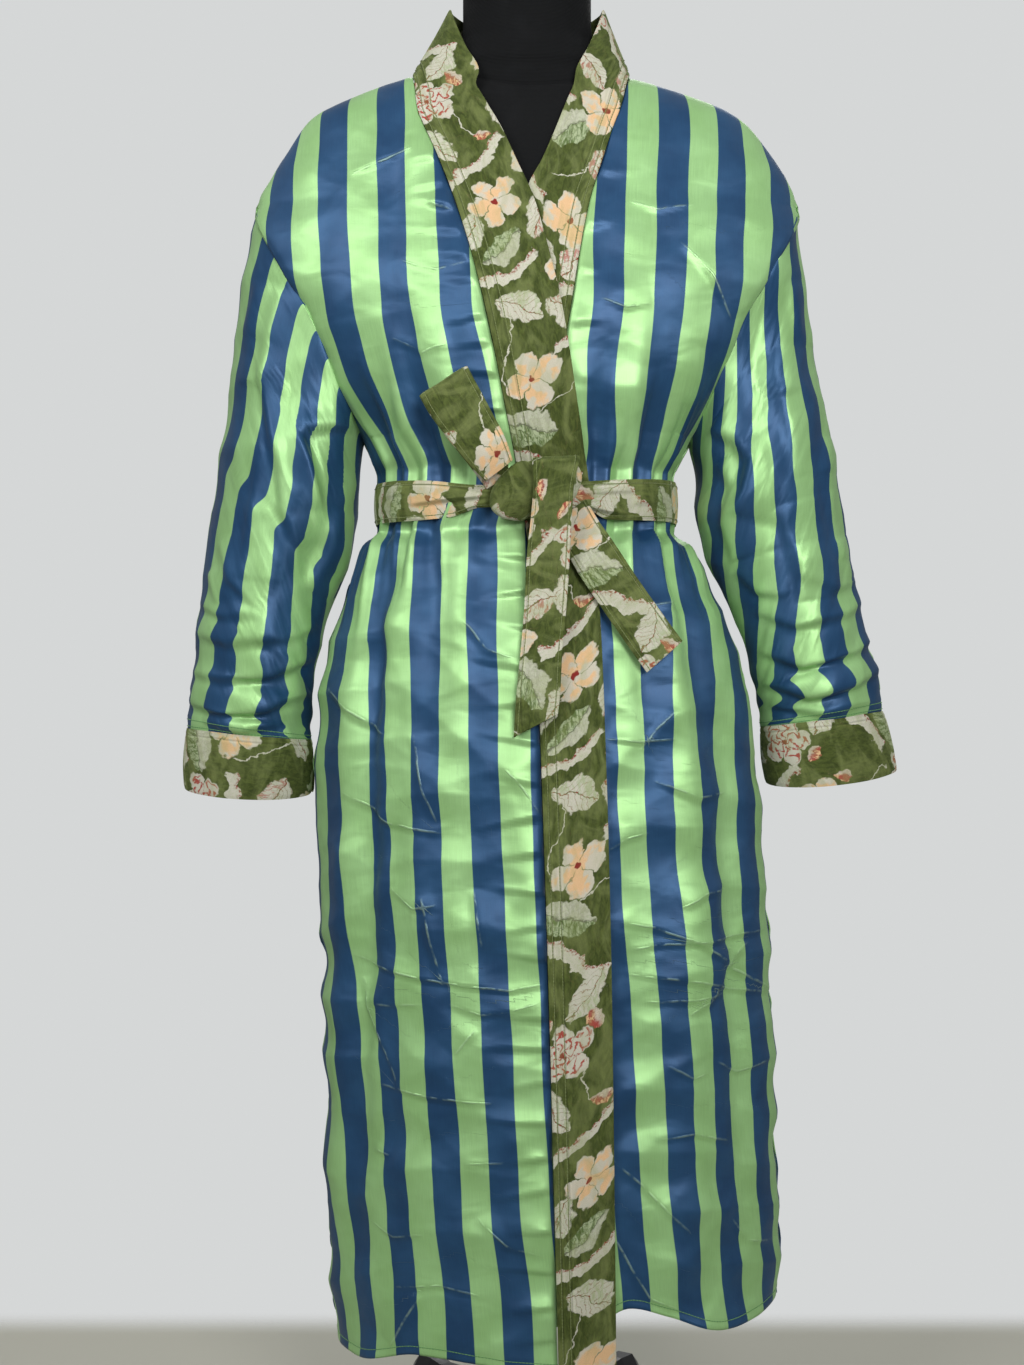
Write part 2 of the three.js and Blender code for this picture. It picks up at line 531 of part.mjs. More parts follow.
// The band from the centre back over the shoulder and down its front. The seam's heights are those
// of the panel's own edge, so both follow the same line.
function bandGrid(sign, seam, free, heights, lift) {
  const backSeam = (x) => {
    const top = NECK_SIDE + NECK_RISE * (1 - (x / body[sideOf(x)](NECK_SIDE)) ** 2);
    return bodyPoint('back', x, top).setZ(top + BAND_BACK_GAP);
  };
  const frontPoint = (x, z) => {
    const point = bodyPoint('front', x, z, lift(x) + BAND_LIFT);
    point.y -= SEAM_GAP / 2;
    return point;
  };
  const seamX = (z) => seam(z) - sign * BAND_SEAM_GAP;
  const grid = COLLAR.map(({ seamX: x, free: [freeX, y, z] }) => (
    across(backSeam(sign * x), new THREE.Vector3(sign * freeX, y, z))));
  for (const z of heights) {
    if (z > COLLAR_END) {
      const [x, y, freeZ] = collarFree.map((curve) => curve(z));
      grid.push(across(frontPoint(seamX(z), z), new THREE.Vector3(sign * x, y, freeZ)));
      continue;
    }
    const high = z + bandRise(z);
    const shares = Array.from({ length: BAND_COLUMNS + 1 }, (_, column) => column / BAND_COLUMNS);
    grid.push(shares.map((share) => frontPoint(mix(seamX(z), free(high), share), mix(z, high, share))));
  }
  return grid;
}

// Points straight across a band, from its seam to its free edge.
function across(edge, end) {
  return Array.from({ length: BAND_COLUMNS + 1 }, (_, column) => edge.clone().lerp(end, column / BAND_COLUMNS));
}

function bands() {
  const overHeights = columnHeights('front', [overSeam, edgeLine('left')], overHem, 0);
  const underHeights = columnHeights('front', [edgeLine('right'), underSeam], underHem, 1);
  const overGrid = bandGrid(-1, overSeam, overFree, overHeights, overLift);
  const underGrid = bandGrid(1, underSeam, underFree, underHeights, () => 0);
  return [
    wall('band_over', overGrid.map((row) => row.reverse()), VELVET, velvet),
    wall('band_under', underGrid, VELVET, velvet),
  ];
}

// ---- sleeves and cuffs ---------------------------------------------------------------------
const SLEEVE_COLUMNS = 2 * UPPER_ROWS;

// Ring of a sleeve: the turn is 0 at its +X edge, a quarter at the front.
function sleeveGrid(sleeve) {
  const sign = sleeve.side === 'left' ? -1 : 1;
  const outer = curveOf(sleeve.outer, 'z', 'x');
  const inner = curveOf(sleeve.inner, 'z', 'x');
  const depth = curveOf(SLEEVE_DEPTH, 'share', 'depth');
  const outerEnd = sleeve.outer[sleeve.outer.length - 1].z;
  const innerEnd = sleeve.inner[sleeve.inner.length - 1].z;
  return SLEEVE_SHARES.map((share) => {
    const outerZ = mix(ARMHOLE.top, outerEnd, share);
    const innerZ = mix(ARMHOLE.bottom, innerEnd, share);
    const ends = [new THREE.Vector3(inner(innerZ), 0, innerZ), new THREE.Vector3(outer(outerZ), 0, outerZ)];
    if (sign > 0) ends.reverse();
    return Array.from({ length: SLEEVE_COLUMNS }, (_, column) => {
      const turn = (2 * Math.PI * column) / SLEEVE_COLUMNS;
      const fromArmhole = armholeRing(sleeve.side, turn);
      const point = ringPoint(ends, turn, depth(share), share);
      point.lerp(fromArmhole, 1 - ease(share / SLEEVE_HEAD));
      return point;
    });
  });
}

function armholeRing(side, turn) {
  const sign = side === 'left' ? -1 : 1;
  const z = armholeMiddle + sign * armholeHalf * Math.cos(turn);
  const x = sign * (body[side](z) + ARMHOLE_GAP);
  return new THREE.Vector3(x, -ARMHOLE.depth * Math.sin(turn), z - ARMHOLE_DROP);
}

function ringPoint([rightEnd, leftEnd], turn, depth, share) {
  const middle = new THREE.Vector3().addVectors(rightEnd, leftEnd).multiplyScalar(0.5);
  const half = new THREE.Vector3().subVectors(rightEnd, leftEnd).multiplyScalar(0.5);
  const pointed = Math.abs(Math.sin(turn)) ** (SLEEVE_POINTING * ease(share / SLEEVE_FLAT_BY));
  let bunch = 0;
  for (const fold of SLEEVE_BUNCHES) bunch += fold.height * bell(share - fold.share, fold.width);
  const swell = bunch / half.length();
  const drag = Math.sin(turn) > 0 ? DRAG.depth * bell(share - DRAG.share, DRAG.height) : 0;
  const inward = 1 - Math.abs(Math.cos(turn));
  const reach = depth * Math.sin(turn) * pointed * (1 + swell) - drag * inward * ease(share / DRAG.start);
  return middle.addScaledVector(half, Math.cos(turn) * (1 + swell * BUNCH_AT_EDGE))
    .add(new THREE.Vector3(0, SLEEVE_BACKSET * share - reach, 0));
}

function cuffGrid(sleeve, lastRing) {
  const sign = sleeve.side === 'left' ? -1 : 1;
  const { outer, inner } = sleeve.cuff;
  const ends = [new THREE.Vector3(inner.x, 0, inner.z), new THREE.Vector3(outer.x, 0, outer.z)];
  if (sign > 0) ends.reverse();
  const depth = SLEEVE_DEPTH[SLEEVE_DEPTH.length - 1].depth;
  return [0, 0.5, 1].map((fall) => lastRing.map((top, column) => {
    const turn = (2 * Math.PI * column) / SLEEVE_COLUMNS;
    const bottom = ringPoint(ends, turn, depth, 1);
    bottom.z -= CUFF_FRONT_DROP * Math.sin(turn);
    const start = top.clone();
    const middle = lastRing.reduce((sum, p) => sum.add(p), new THREE.Vector3()).divideScalar(lastRing.length);
    const out = new THREE.Vector3().subVectors(top, middle).setZ(0).normalize().multiplyScalar(CUFF_PROUD);
    start.add(out).setZ(start.z - SEAM_GAP);
    return start.lerp(bottom.add(out), fall);
  }));
}

function sleeves() {
  return SLEEVES.flatMap((sleeve) => {
    const grid = sleeveGrid(sleeve);
    const cuff = cuffGrid(sleeve, grid[grid.length - 1]);
    return [
      wall(`sleeve_${sleeve.name}`, grid, SATIN, satin, { closed: true }),
      wall(`cuff_${sleeve.name}`, cuff, VELVET, velvet, { closed: true }),
    ];
  });
}

// ---- belt ----------------------------------------------------------------------------------
// Points round the waist, clockwise from above: along the front from the right edge, then the back.
function waistPoint(turn, z) {
  const face = turn < Math.PI ? 'front' : 'back';
  const around = turn < Math.PI ? Math.PI - turn : turn - Math.PI;
  const x = xOfTurn(face, around, z);
  const front = face === 'front' ? ease((BELT.frontReach - Math.abs(x)) / BELT.frontFade) : 0;
  const y = depthAt(face, x, z);
  const lift = mix(BELT.sideLift, BELT.frontLift, front);
  const grow = 1 + lift / Math.hypot(x, y);
  return new THREE.Vector3(x * grow, (face === 'front' ? -y : y) * grow, z);
}

function beltWaist() {
  const grid = [1, 0.5, 0].map((share) => Array.from({ length: BELT_COLUMNS }, (_, column) => {
    const turn = (2 * Math.PI * column) / BELT_COLUMNS;
    const place = waistPoint(turn, (BELT.bottom + BELT.top) / 2);
    const pinch = turn < Math.PI ? bell(place.x, BELT.pinch) : 0;
    const [bottom, top] = [mix(BELT.bottom, BELT.pinchedBottom, pinch), mix(BELT.top, BELT.pinchedTop, pinch)];
    place.z = mix(bottom, top, share);
    return place;
  }));
  return wall('belt_waist', grid, VELVET, velvet, { closed: true });
}

// A flat ribbon along a list of stations: middle point, half-width in x and z, and a cross bow.
const RIBBON_SHARES = [-1, -0.35, 0.35, 1];
function ribbon(name, stations, look) {
  const grid = stations.map(({ at, half, bow = 0 }) => RIBBON_SHARES.map((share) => new THREE.Vector3(
    at[0] - half[0] * share,
    at[1] - bow * (1 - share * share),
    at[2] - half[1] * share,
  )));
  return wall(name, grid, VELVET, look);
}

const KNOT = { x: 7.5, y: -129.9, z: 942, half: [40.6, 12, 28], segments: 16 };
const KNOT_RINGS = [0.12, 0.45, 0.75, 0.93, 1, 0.93, 0.75, 0.45, 0.12];
// Centre tail of the belt: it comes over the knot and hangs straight down.
const TAIL_CENTRE = [
  { at: [27, -139.5, 974], half: [20, 2], bow: 1 },
  { at: [25, -144.3, 962], half: [22, 1], bow: 0.6 },
  { at: [23, -145.1, 942], half: [22, 0], bow: 0.3 },
  { at: [21, -145.5, 915], half: [21, 0], bow: 0.6 },
  { at: [19, -148, 880], half: [20, 0], bow: 2 },
  { at: [16, -154, 830], half: [20, 0], bow: 2 },
  { at: [12, -159, 785], half: [20, 1], bow: 2 },
  { at: [9, -162, 745], half: [21, 4], bow: 2 },
  { at: [7, -163, 720], half: [21, 11], bow: 2 },
];
// Side tail: it leaves the knot and hangs slanting to the wearer's left.
const TAIL_SIDE = [
  { at: [43, -117.6, 925], half: [12, 9], bow: 0 },
  { at: [50, -127, 902], half: [16, 12], bow: 1 },
  { at: [62, -137, 880], half: [18, 13], bow: 3 },
  { at: [83, -140, 848], half: [18, 13], bow: 3 },
  { at: [105, -141, 816], half: [18, 13], bow: 2 },
  { at: [128, -141, 784], half: [17, 15], bow: 2 },
];
// Half bow: a doubled loop towards the wearer's right shoulder; the under layer first.
const LOOP = [
  { at: [-28, -119.2, 950], half: [11, 7], bow: 0 },
  { at: [-39, -122.4, 975], half: [16, 11], bow: 0 },
  { at: [-56, -131, 1003], half: [20, 13], bow: 0 },
  { at: [-73, -133, 1030], half: [22, 14], bow: 0 },
  { at: [-80, -138, 1043], half: [22, 14], bow: 0 },
  { at: [-79, -144, 1042], half: [22, 14], bow: 0 },
  { at: [-71, -148, 1027], half: [22, 14], bow: 3 },
  { at: [-54, -150, 1000], half: [20, 13], bow: 4 },
  { at: [-37, -149, 974], half: [17, 12], bow: 4 },
  { at: [-27, -143.5, 958], half: [13, 10], bow: 1 },
];

function knot() {
  const rings = KNOT_RINGS.map((size, row) => {
    const share = 1 - (2 * row) / (KNOT_RINGS.length - 1);
    return Array.from({ length: KNOT.segments }, (_, column) => {
      const turn = (2 * Math.PI * column) / KNOT.segments;
      return new THREE.Vector3(
        KNOT.x + KNOT.half[0] * size * Math.cos(turn),
        KNOT.y - KNOT.half[1] * size * Math.sin(turn),
        KNOT.z + KNOT.half[2] * Math.sin((Math.PI / 2) * share),
      );
    });
  });
  return loft('belt_knot', rings, velvet);
}

// ---- dress form and stand ------------------------------------------------------------------
function formTorso() {
  const column = Object.fromEntries(['half', 'front', 'back'].map((name) => [name, curveOf(FORM, 'z', name)]));
  const rings = FORM.map(({ z }) => Array.from({ length: FORM_COLUMNS }, (_, j) => {
    const turn = (2 * Math.PI * j) / FORM_COLUMNS;
    const [c, s] = [Math.cos(turn), Math.sin(turn)];
    const depth = s > 0 ? column.front(z) : column.back(z);
    const power = 2 / FORM_ROUNDNESS;
    return new THREE.Vector3(
      column.half(z) * Math.sign(c) * Math.abs(c) ** power,
      -depth * Math.sign(s) * Math.abs(s) ** power,
      z,
    );
  }));
  return loft('form_torso', rings, formCloth);
}

function neckCap() {
  const rings = NECK_CAP_RINGS.map(([z, size]) => Array.from({ length: NECK_CAP.segments }, (_, j) => {
    const turn = (2 * Math.PI * j) / NECK_CAP.segments;
    return new THREE.Vector3(
      NECK_CAP.half * size * Math.cos(turn),
      NECK_CAP.y - NECK_CAP.depth * size * Math.sin(turn),
      z,
    );
  }));
  return loft('form_neck_cap', rings, formCloth);
}

function lathe(name, profile, segments, look) {
  const ends = [[0, profile[0][1]], ...profile, [0, profile[profile.length - 1][1]]];
  const geometry = new THREE.LatheGeometry(ends.map(([r, z]) => new THREE.Vector2(r, z)), segments);
  geometry.rotateX(Math.PI / 2);
  const result = new THREE.Mesh(geometry, new THREE.MeshStandardMaterial(look));
  result.name = name;
  return result;
}

function foot(index) {
  const heading = FOOT_START + (2 * Math.PI * index) / FOOT_COUNT;
  const rings = FOOT.map(({ reach, half, low, high }) => {
    const middle = (low + high) / 2;
    const rise = (high - low) / 2;
    return FOOT_CORNERS.map(([side, up]) => new THREE.Vector3(reach, side * half, middle + up * rise));
  });
  const result = loft(`stand_foot_${index + 1}`, rings, steel);
  result.rotation.z = heading;
  return result;
}

const robe = new THREE.Group();
robe.add(...panels(), ...sleeves(), ...bands(), beltWaist(), knot());
robe.add(ribbon('belt_loop', LOOP, velvet));
robe.add(ribbon('belt_tail_centre', TAIL_CENTRE, velvet));
robe.add(ribbon('belt_tail_side', TAIL_SIDE, velvet));
robe.add(formTorso(), neckCap());
robe.add(lathe('stand_pole', [[POLE.radius, POLE.bottom], [POLE.radius, POLE.top]], POLE.segments, steel));
robe.add(lathe('stand_hub', HUB, HUB_SEGMENTS, steel));
for (let index = 0; index < FOOT_COUNT; index++) robe.add(foot(index));

export default robe;
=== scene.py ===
"""A kimono robe of striped satin with a printed velvet band, cuffs and tied belt, on a dress form.

Tables are in millimetres and meshes in metres, +Z up, with the front of the robe facing -Y.
"over" is the wearer's right front, which laps over the wearer's left front, "under".
"""
import math

import bmesh
import bpy
import numpy as np
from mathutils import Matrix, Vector


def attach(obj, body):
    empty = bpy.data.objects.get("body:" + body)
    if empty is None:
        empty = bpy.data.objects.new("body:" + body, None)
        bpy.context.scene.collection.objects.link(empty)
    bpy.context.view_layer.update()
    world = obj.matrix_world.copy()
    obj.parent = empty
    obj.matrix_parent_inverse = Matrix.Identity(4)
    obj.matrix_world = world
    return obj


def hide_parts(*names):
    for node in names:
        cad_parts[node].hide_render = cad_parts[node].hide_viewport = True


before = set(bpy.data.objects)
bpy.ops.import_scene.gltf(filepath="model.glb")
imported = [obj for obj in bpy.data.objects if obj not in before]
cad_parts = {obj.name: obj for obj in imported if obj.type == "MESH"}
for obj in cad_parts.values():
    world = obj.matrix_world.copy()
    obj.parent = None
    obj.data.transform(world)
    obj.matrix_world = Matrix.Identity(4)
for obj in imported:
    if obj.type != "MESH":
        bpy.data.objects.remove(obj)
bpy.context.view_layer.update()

# ---- driving sizes --------------------------------------------------------------------------
MM = 0.001
COARSE = 1.0   # share of the full mesh density
SATIN = 1.2              # wall of the striped cloth
VELVET = 2.4             # wall of the band, cuffs and belt, which are folded double
ROUNDNESS = 2.3          # exponent of the body's cross-sections, 2 being an ellipse
SHOULDER_TIP = 270
SHOULDER_CALM = 48       # creases fade out within this distance of the shoulder's tip
ARMHOLE_TOP, ARMHOLE_FOOT, ARMHOLE_DEPTH = 1230, 1000, 75
NECK_SIDE, NECK_RISE = 1364, 9
OVER_LIFT, OVER_START, OVER_WIDTH = 5, -132, 36
BAND_LIFT = 0.5
HEM_LEVEL = 130
STRIPE = 29.0            # width of one woven stripe
ROUNDING = 130
SEAM_ROLL, SEAM_ROLL_WIDTH = 1.6, 4.5   # how far an edge dips into its seam
CREASE = 2.7             # how strongly the drawn creases stand, over their listed depths
SWELL, TUCK = 5.5, 2.2   # reach of the swell above a crease and of the tuck below it, in widths
UNDER_LINE, UNDER_LINE_WIDTH = 0.45, 0.8   # the sharp line under a crease, in depths and widths
DRAPE, DRAPE_REACH, DRAPE_FADE = 0.8, 330, 90   # the slow unevenness, and how far above the armhole's foot
FACET_SKIRT, FACET_CHEST, FACET_LEVEL, FACET_FADE = 2.6, 1.3, 900, 60
SIDE_WAVE, SIDE_WAVE_LENGTH, SIDE_WAVE_WIDTH = 2.2, 88, 24   # waves down the side edges of the skirt
SIDE_WAVE_TOP, SIDE_WAVE_FADE = 760, 160
SIDE_SLIP, SIDE_SLIP_WIDTH = 0.24, 8    # how far the stripes wander at the rolled side folds, in stripes
BACK_SLIP = 0.3          # share of that on the back
STRIPE_WANDER = 0.022    # how far stripes stray from straight all over, in stripes
WAIST = 935.0            # level of the belt's middle
HEM, HEM_GROOVE, HEM_GROOVE_WIDTH = 8, 0.5, 1.6
COVER_FADE = 12          # the hidden part of the lower front is smooth up to this far past the band

# z, left edge, right edge, front depth, back depth of the body of the robe.
BODY = [
    (1375, 110, 102, 36, 72), (1364, 112, 104, 42, 73), (1352, 148, 135, 53, 79),
    (1342, 174, 166, 60, 84), (1317, 221, 217, 75, 96), (1282, 243, 247, 88, 106),
    (1230, 270, 270, 101, 113), (1160, 239, 239, 119, 115), (1124, 218, 218, 128, 111),
    (1088, 201, 201, 130, 106), (1051, 187, 187, 127, 101), (1000, 164, 164, 118, 97),
    (978, 154, 152, 112, 95), (964, 147, 145, 108, 94), (908, 147, 145, 108, 94),
    (893, 162, 167, 114, 102), (848, 182, 188, 127, 118), (802, 197, 208, 138, 132),
    (742, 209, 222, 146, 142), (662, 212, 231, 150, 147), (582, 209, 238, 152, 150),
    (462, 204, 243, 153, 152), (342, 202, 248, 154, 153), (192, 197, 253, 155, 154),
    (112, 190, 248, 155, 153),
]
# Height and x of each band's seam and free edge.
OVER_SEAM = [(1364, -111), (1343, -107), (1319, -104), (1297, -96), (1265, -83), (1223, -68),
             (1172, -53), (1122, -41), (1074, -31), (1026, -22), (960, -10), (840, 5),
             (688, 11), (464, 18), (112, 27)]
OVER_FREE = [(1350, -50), (1317, -35), (1295, -24), (1263, -11), (1221, 6), (1171, 19),
             (1122, 30), (1073, 38), (1026, 45), (988, 51), (940, 57), (837, 65), (744, 69),
             (465, 76), (112, 80)]
UNDER_SEAM = [(1364, 103), (1343, 97), (1319, 91), (1297, 83), (1265, 73), (1223, 60),
              (1172, 50), (1122, 42), (1074, 34), (1026, 26), (960, 14), (840, 2), (688, -6),
              (464, -12), (112, -18)]
UNDER_FREE = [(1350, 47), (1317, 35), (1295, 27), (1263, 14), (1235, 0), (1171, -14),
              (1122, -22), (1073, -30), (1026, -37), (988, -43), (940, -49), (837, -59),
              (744, -65), (465, -73), (112, -79)]
# x and height of the hems.
OVER_HEM = [(-200, 117), (-170, 114), (-100, 131), (0, 121), (40, 118)]
UNDER_HEM = [(-90, 158), (60, 162), (92, 176), (130, 165), (186, 147), (245, 158)]
BACK_HEM = [(-200, 122), (-80, 130), (60, 126), (150, 136), (250, 150)]
# Large soft folds: start x, start z, end x, end z, height (hollows are negative) and width.
FRONT_FOLDS = [
    (-64, 968, -84, 1110, 4.5, 11), (-88, 966, -118, 1140, -4, 10), (-108, 966, -140, 1120, 6, 11),
    (-128, 966, -168, 1070, -5, 9), (62, 968, 80, 1100, -4, 11), (86, 966, 116, 1130, 5, 11),
    (108, 966, 144, 1100, -4.5, 10), (126, 966, 166, 1080, 5, 10), (-58, 905, -66, 700, 4, 12),
    (-84, 905, -104, 640, -5, 12), (-108, 905, -142, 690, 6, 12), (-128, 905, -176, 600, -6, 11),
    (-150, 800, -168, 100, -9, 13), (-168, 780, -190, 60, 6, 13), (96, 905, 120, 650, -5, 12),
    (118, 905, 160, 620, 6, 13), (134, 905, 190, 640, -6, 12), (190, 760, 214, 80, -8, 14),
    (150, 640, 150, 60, 6, 22),
]
BACK_FOLDS = [
    (-112, 966, -150, 1130, 5, 12), (-78, 966, -100, 1160, -5, 13), (-40, 966, -46, 1120, 5, 13),
    (4, 966, 8, 1170, -4, 14), (46, 966, 58, 1120, 5, 13), (86, 966, 112, 1150, -5, 13),
    (118, 966, 156, 1110, 5, 11), (-118, 905, -176, 560, 6, 14), (-86, 905, -124, 420, -7, 16),
    (-46, 905, -66, 520, 6, 16), (-6, 905, -8, 300, -6, 18), (38, 905, 60, 480, 6, 16),
    (80, 905, 124, 360, -7, 17), (118, 905, 186, 540, 6, 14),
]
EDGE_FADE = 26

# Stripes: how much cloth is gathered into a width, by height, and where one stripe edge runs.
GATHER = [(1350, 0.96), (1080, 0.98), (1010, 1.06), (972, 1.2), (935, 1.2), (912, 1.13),
          (842, 1.08), (742, 1.04), (464, 1.066), (279, 1.1), (100, 1.1)]
OVER_STRIPE = [(1370, -119), (1315, -118), (1262, -116), (1221, -114), (1171, -112), (1122, -110),
               (1074, -101), (1028, -89), (991, -77), (963, -69), (935, -70), (906, -79),
               (838, -81), (744, -82), (631, -79), (464, -71), (371, -65), (278, -60), (185, -51),
               (110, -46)]
UNDER_STRIPE = [(1370, 99), (1314, 98), (1261, 96), (1221, 94), (1170, 92), (1121, 91), (1074, 86),
                (1028, 83), (991, 82), (963, 78), (906, 75), (838, 79), (744, 82), (632, 84),
                (463, 95), (370, 101), (277, 106), (183, 114), (110, 119)]

# Sharper creases of the panels: points of x and z, depth and width.
OVER_CREASES = [
    ([(-168, 501), (-155, 494), (-127, 488), (-100, 483), (-71, 480), (-43, 476), (-17, 473),
      (12, 479)], 1.3, 2.6),
    ([(-151, 455), (-97, 458)], 0.7, 2.4),
    ([(-71, 460), (-43, 451), (-15, 455), (8, 462)], 1.1, 2.6),
    ([(-140, 381), (-116, 377), (-92, 372), (-63, 370), (-33, 369)], 1.1, 2.6),
    ([(-162, 479), (-155, 449), (-133, 411), (-120, 378)], 1.2, 3.0),
    ([(-96, 560), (-88, 515), (-76, 478)], 1.6, 4.5),
    ([(-49, 566), (-41, 512)], 1.2, 4),
    ([(-66, 414), (-47, 438)], 0.9, 3),
    ([(-192, 754), (-158, 722), (-136, 711)], 1.3, 4),
    ([(-176, 655), (-132, 627), (-79, 619)], 1.2, 3.6),
    ([(-106, 710), (-96, 660), (-84, 630)], 1.2, 5),
    ([(-127, 135), (-113, 161), (-98, 186)], 1.0, 4),
    ([(-124, 191), (-82, 198), (-42, 190)], 0.8, 2.8),
    ([(-171, 1250), (-137, 1263), (-108, 1274)], 0.9, 2.0),
    ([(-60, 820), (-36, 790), (-10, 782)], 0.8, 4),
    ([(-128, 566), (-104, 548), (-84, 552)], 0.9, 3.2),
    ([(-148, 318), (-131, 314)], 0.8, 2.6),
    ([(-60, 312), (-22, 314)], 0.7, 2.4),
    ([(-30, 690), (-6, 662), (9, 640)], 0.9, 4),
    ([(-44, 262), (-18, 236), (14, 228)], 0.9, 3.5),
    ([(-150, 250), (-126, 238), (-96, 244)], 0.7, 3),
    ([(-118, 1160), (-84, 1150), (-58, 1156)], 0.7, 3),
    ([(-92, 1216), (-72, 1209)], 0.7, 2.4),
    ([(-128, 1086), (-96, 1072), (-70, 1080)], 0.6, 3.5),
]
UNDER_CREASES = [
    ([(91, 510), (130, 515), (166, 514), (231, 520)], 1.1, 2.8),
    ([(86, 535), (117, 531), (157, 514), (195, 491), (246, 456)], 1.2, 3),
    ([(189, 563), (165, 560), (142, 548)], 1.0, 3.4),
    ([(214, 510), (195, 488), (173, 457), (148, 447)], 1.1, 3.2),
    ([(94, 488), (140, 480), (173, 474), (246, 456)], 0.9, 2.6),
    ([(108, 461), (153, 460), (195, 464)], 0.8, 2.6),
    ([(117, 332), (153, 335), (194, 324)], 0.8, 2.6),
    ([(78, 316), (106, 291), (150, 243)], 1.0, 3.4),
    ([(78, 248), (96, 214), (114, 184), (142, 170)], 1.1, 3.6),
    ([(73, 707), (105, 704), (137, 707)], 1.1, 2.2),
    ([(138, 735), (122, 716), (108, 697)], 0.9, 3),
    ([(75, 603), (90, 613), (112, 619)], 0.9, 3),
    ([(120, 668), (160, 650), (196, 656)], 0.9, 4),
    ([(180, 400), (206, 388), (236, 396)], 0.9, 3),
    ([(130, 400), (152, 388), (170, 392)], 0.7, 3),
    ([(92, 850), (118, 832), (140, 838)], 0.9, 4),
    ([(98, 1220), (124, 1212), (160, 1218)], 0.7, 2.6),
    ([(70, 1122), (92, 1114), (118, 1119)], 0.7, 3),
    ([(146, 1180), (176, 1150), (196, 1110)], 1.1, 5),
    ([(196, 250), (214, 226), (240, 220)], 0.9, 3.4),
]
BACK_CREASES = [
    ([(-180, 520), (-120, 506), (-50, 512), (10, 502), (70, 508), (140, 516), (200, 508)], 1.2, 3),
    ([(-150, 430), (-96, 440), (-40, 432)], 0.9, 3), ([(20, 446), (76, 432), (130, 440)], 0.9, 3),
    ([(-168, 700), (-130, 672), (-84, 668)], 1.1, 4), ([(64, 690), (110, 668), (170, 674)], 1.1, 4),
    ([(-30, 610), (14, 596), (52, 604)], 1.0, 3.5), ([(-20, 340), (40, 330), (96, 338)], 0.9, 3),
    ([(-120, 300), (-84, 286), (-40, 292)], 0.8, 3), ([(120, 290), (160, 268), (206, 272)], 0.9, 3),
    ([(-90, 206), (-40, 196), (0, 204)], 0.8, 3), ([(40, 198), (96, 190), (150, 200)], 0.8, 3),
    ([(-170, 1190), (-110, 1172), (-60, 1180)], 0.8, 3.4),
    ([(50, 1188), (108, 1176), (172, 1196)], 0.8, 3.4),
    ([(-80, 1100), (-30, 1088), (30, 1092), (84, 1102)], 0.9, 4),
    ([(-196, 1130), (-170, 1090), (-150, 1060)], 1.4, 5),
    ([(196, 1134), (170, 1094), (150, 1060)], 1.4, 5),
    ([(-60, 1280), (0, 1272), (60, 1281)], 0.7, 4), ([(-40, 800), (-10, 760), (30, 750)], 1.0, 5),
    ([(90, 820), (120, 780), (150, 764)], 1.0, 5), ([(-140, 820), (-116, 786), (-88, 776)], 1.0, 5),
]
# Gathers drawn in by the belt: distance along the cloth, height, reach above and reach below.
OVER_GATHERS = [(-196, 1.8, 60, 90), (-178, -1.6, 80, 70), (-163, 2.2, 70, 100), (-147, -1.8, 50, 80),
                (-131, 2.0, 90, 64), (-116, -1.4, 60, 90), (-104, 1.9, 74, 70), (-88, -1.8, 96, 60),
                (-75, 1.6, 60, 80), (-60, -1.4, 70, 50), (-46, 1.5, 54, 60), (-33, -1.1, 40, 46),
                (-20, 1.0, 46, 40)]
UNDER_GATHERS = [(42, -1.2, 50, 60), (53, 1.6, 70, 56), (66, -1.8, 60, 90), (79, 2.1, 90, 70),
                 (93, -1.7, 70, 96), (106, 2.2, 54, 80), (119, -1.5, 84, 60), (134, 1.9, 60, 92),
                 (149, -2.0, 76, 74), (164, 1.8, 90, 60), (181, -1.5, 60, 84), (196, 1.5, 70, 70)]
BACK_GATHERS = [(-206, 1.7, 70, 90), (-190, -1.8, 50, 110), (-171, 2.2, 90, 76), (-155, -1.6, 66, 90),
                (-138, 2.0, 60, 120), (-122, -2.0, 84, 80), (-104, 1.6, 96, 70), (-89, -1.8, 60, 96),
                (-72, 2.2, 74, 110), (-55, -1.6, 90, 70), (-38, 1.9, 56, 90), (-21, -2.0, 80, 112),
                (-3, 1.7, 70, 74), (14, -1.5, 96, 96), (31, 2.1, 60, 80), (49, -1.9, 76, 110),
                (66, 1.6, 90, 70), (84, -1.7, 56, 92), (101, 2.2, 84, 104), (118, -1.8, 66, 76),
                (136, 1.9, 90, 96), (153, -1.6, 60, 70), (172, 2.0, 74, 112), (190, -1.7, 84, 84),
                (207, 1.5, 60, 76)]
GATHER_WIDTH, GATHER_RISE, GATHER_SPACING = 5.2, 2.4, 1.13
PUCKER = 4.6             # how strongly the puckers stand, over their listed depths
PUCKER_TILT, PUCKER_SWELL, PUCKER_TUCK, PUCKER_START = 0.22, 13, 4, 5
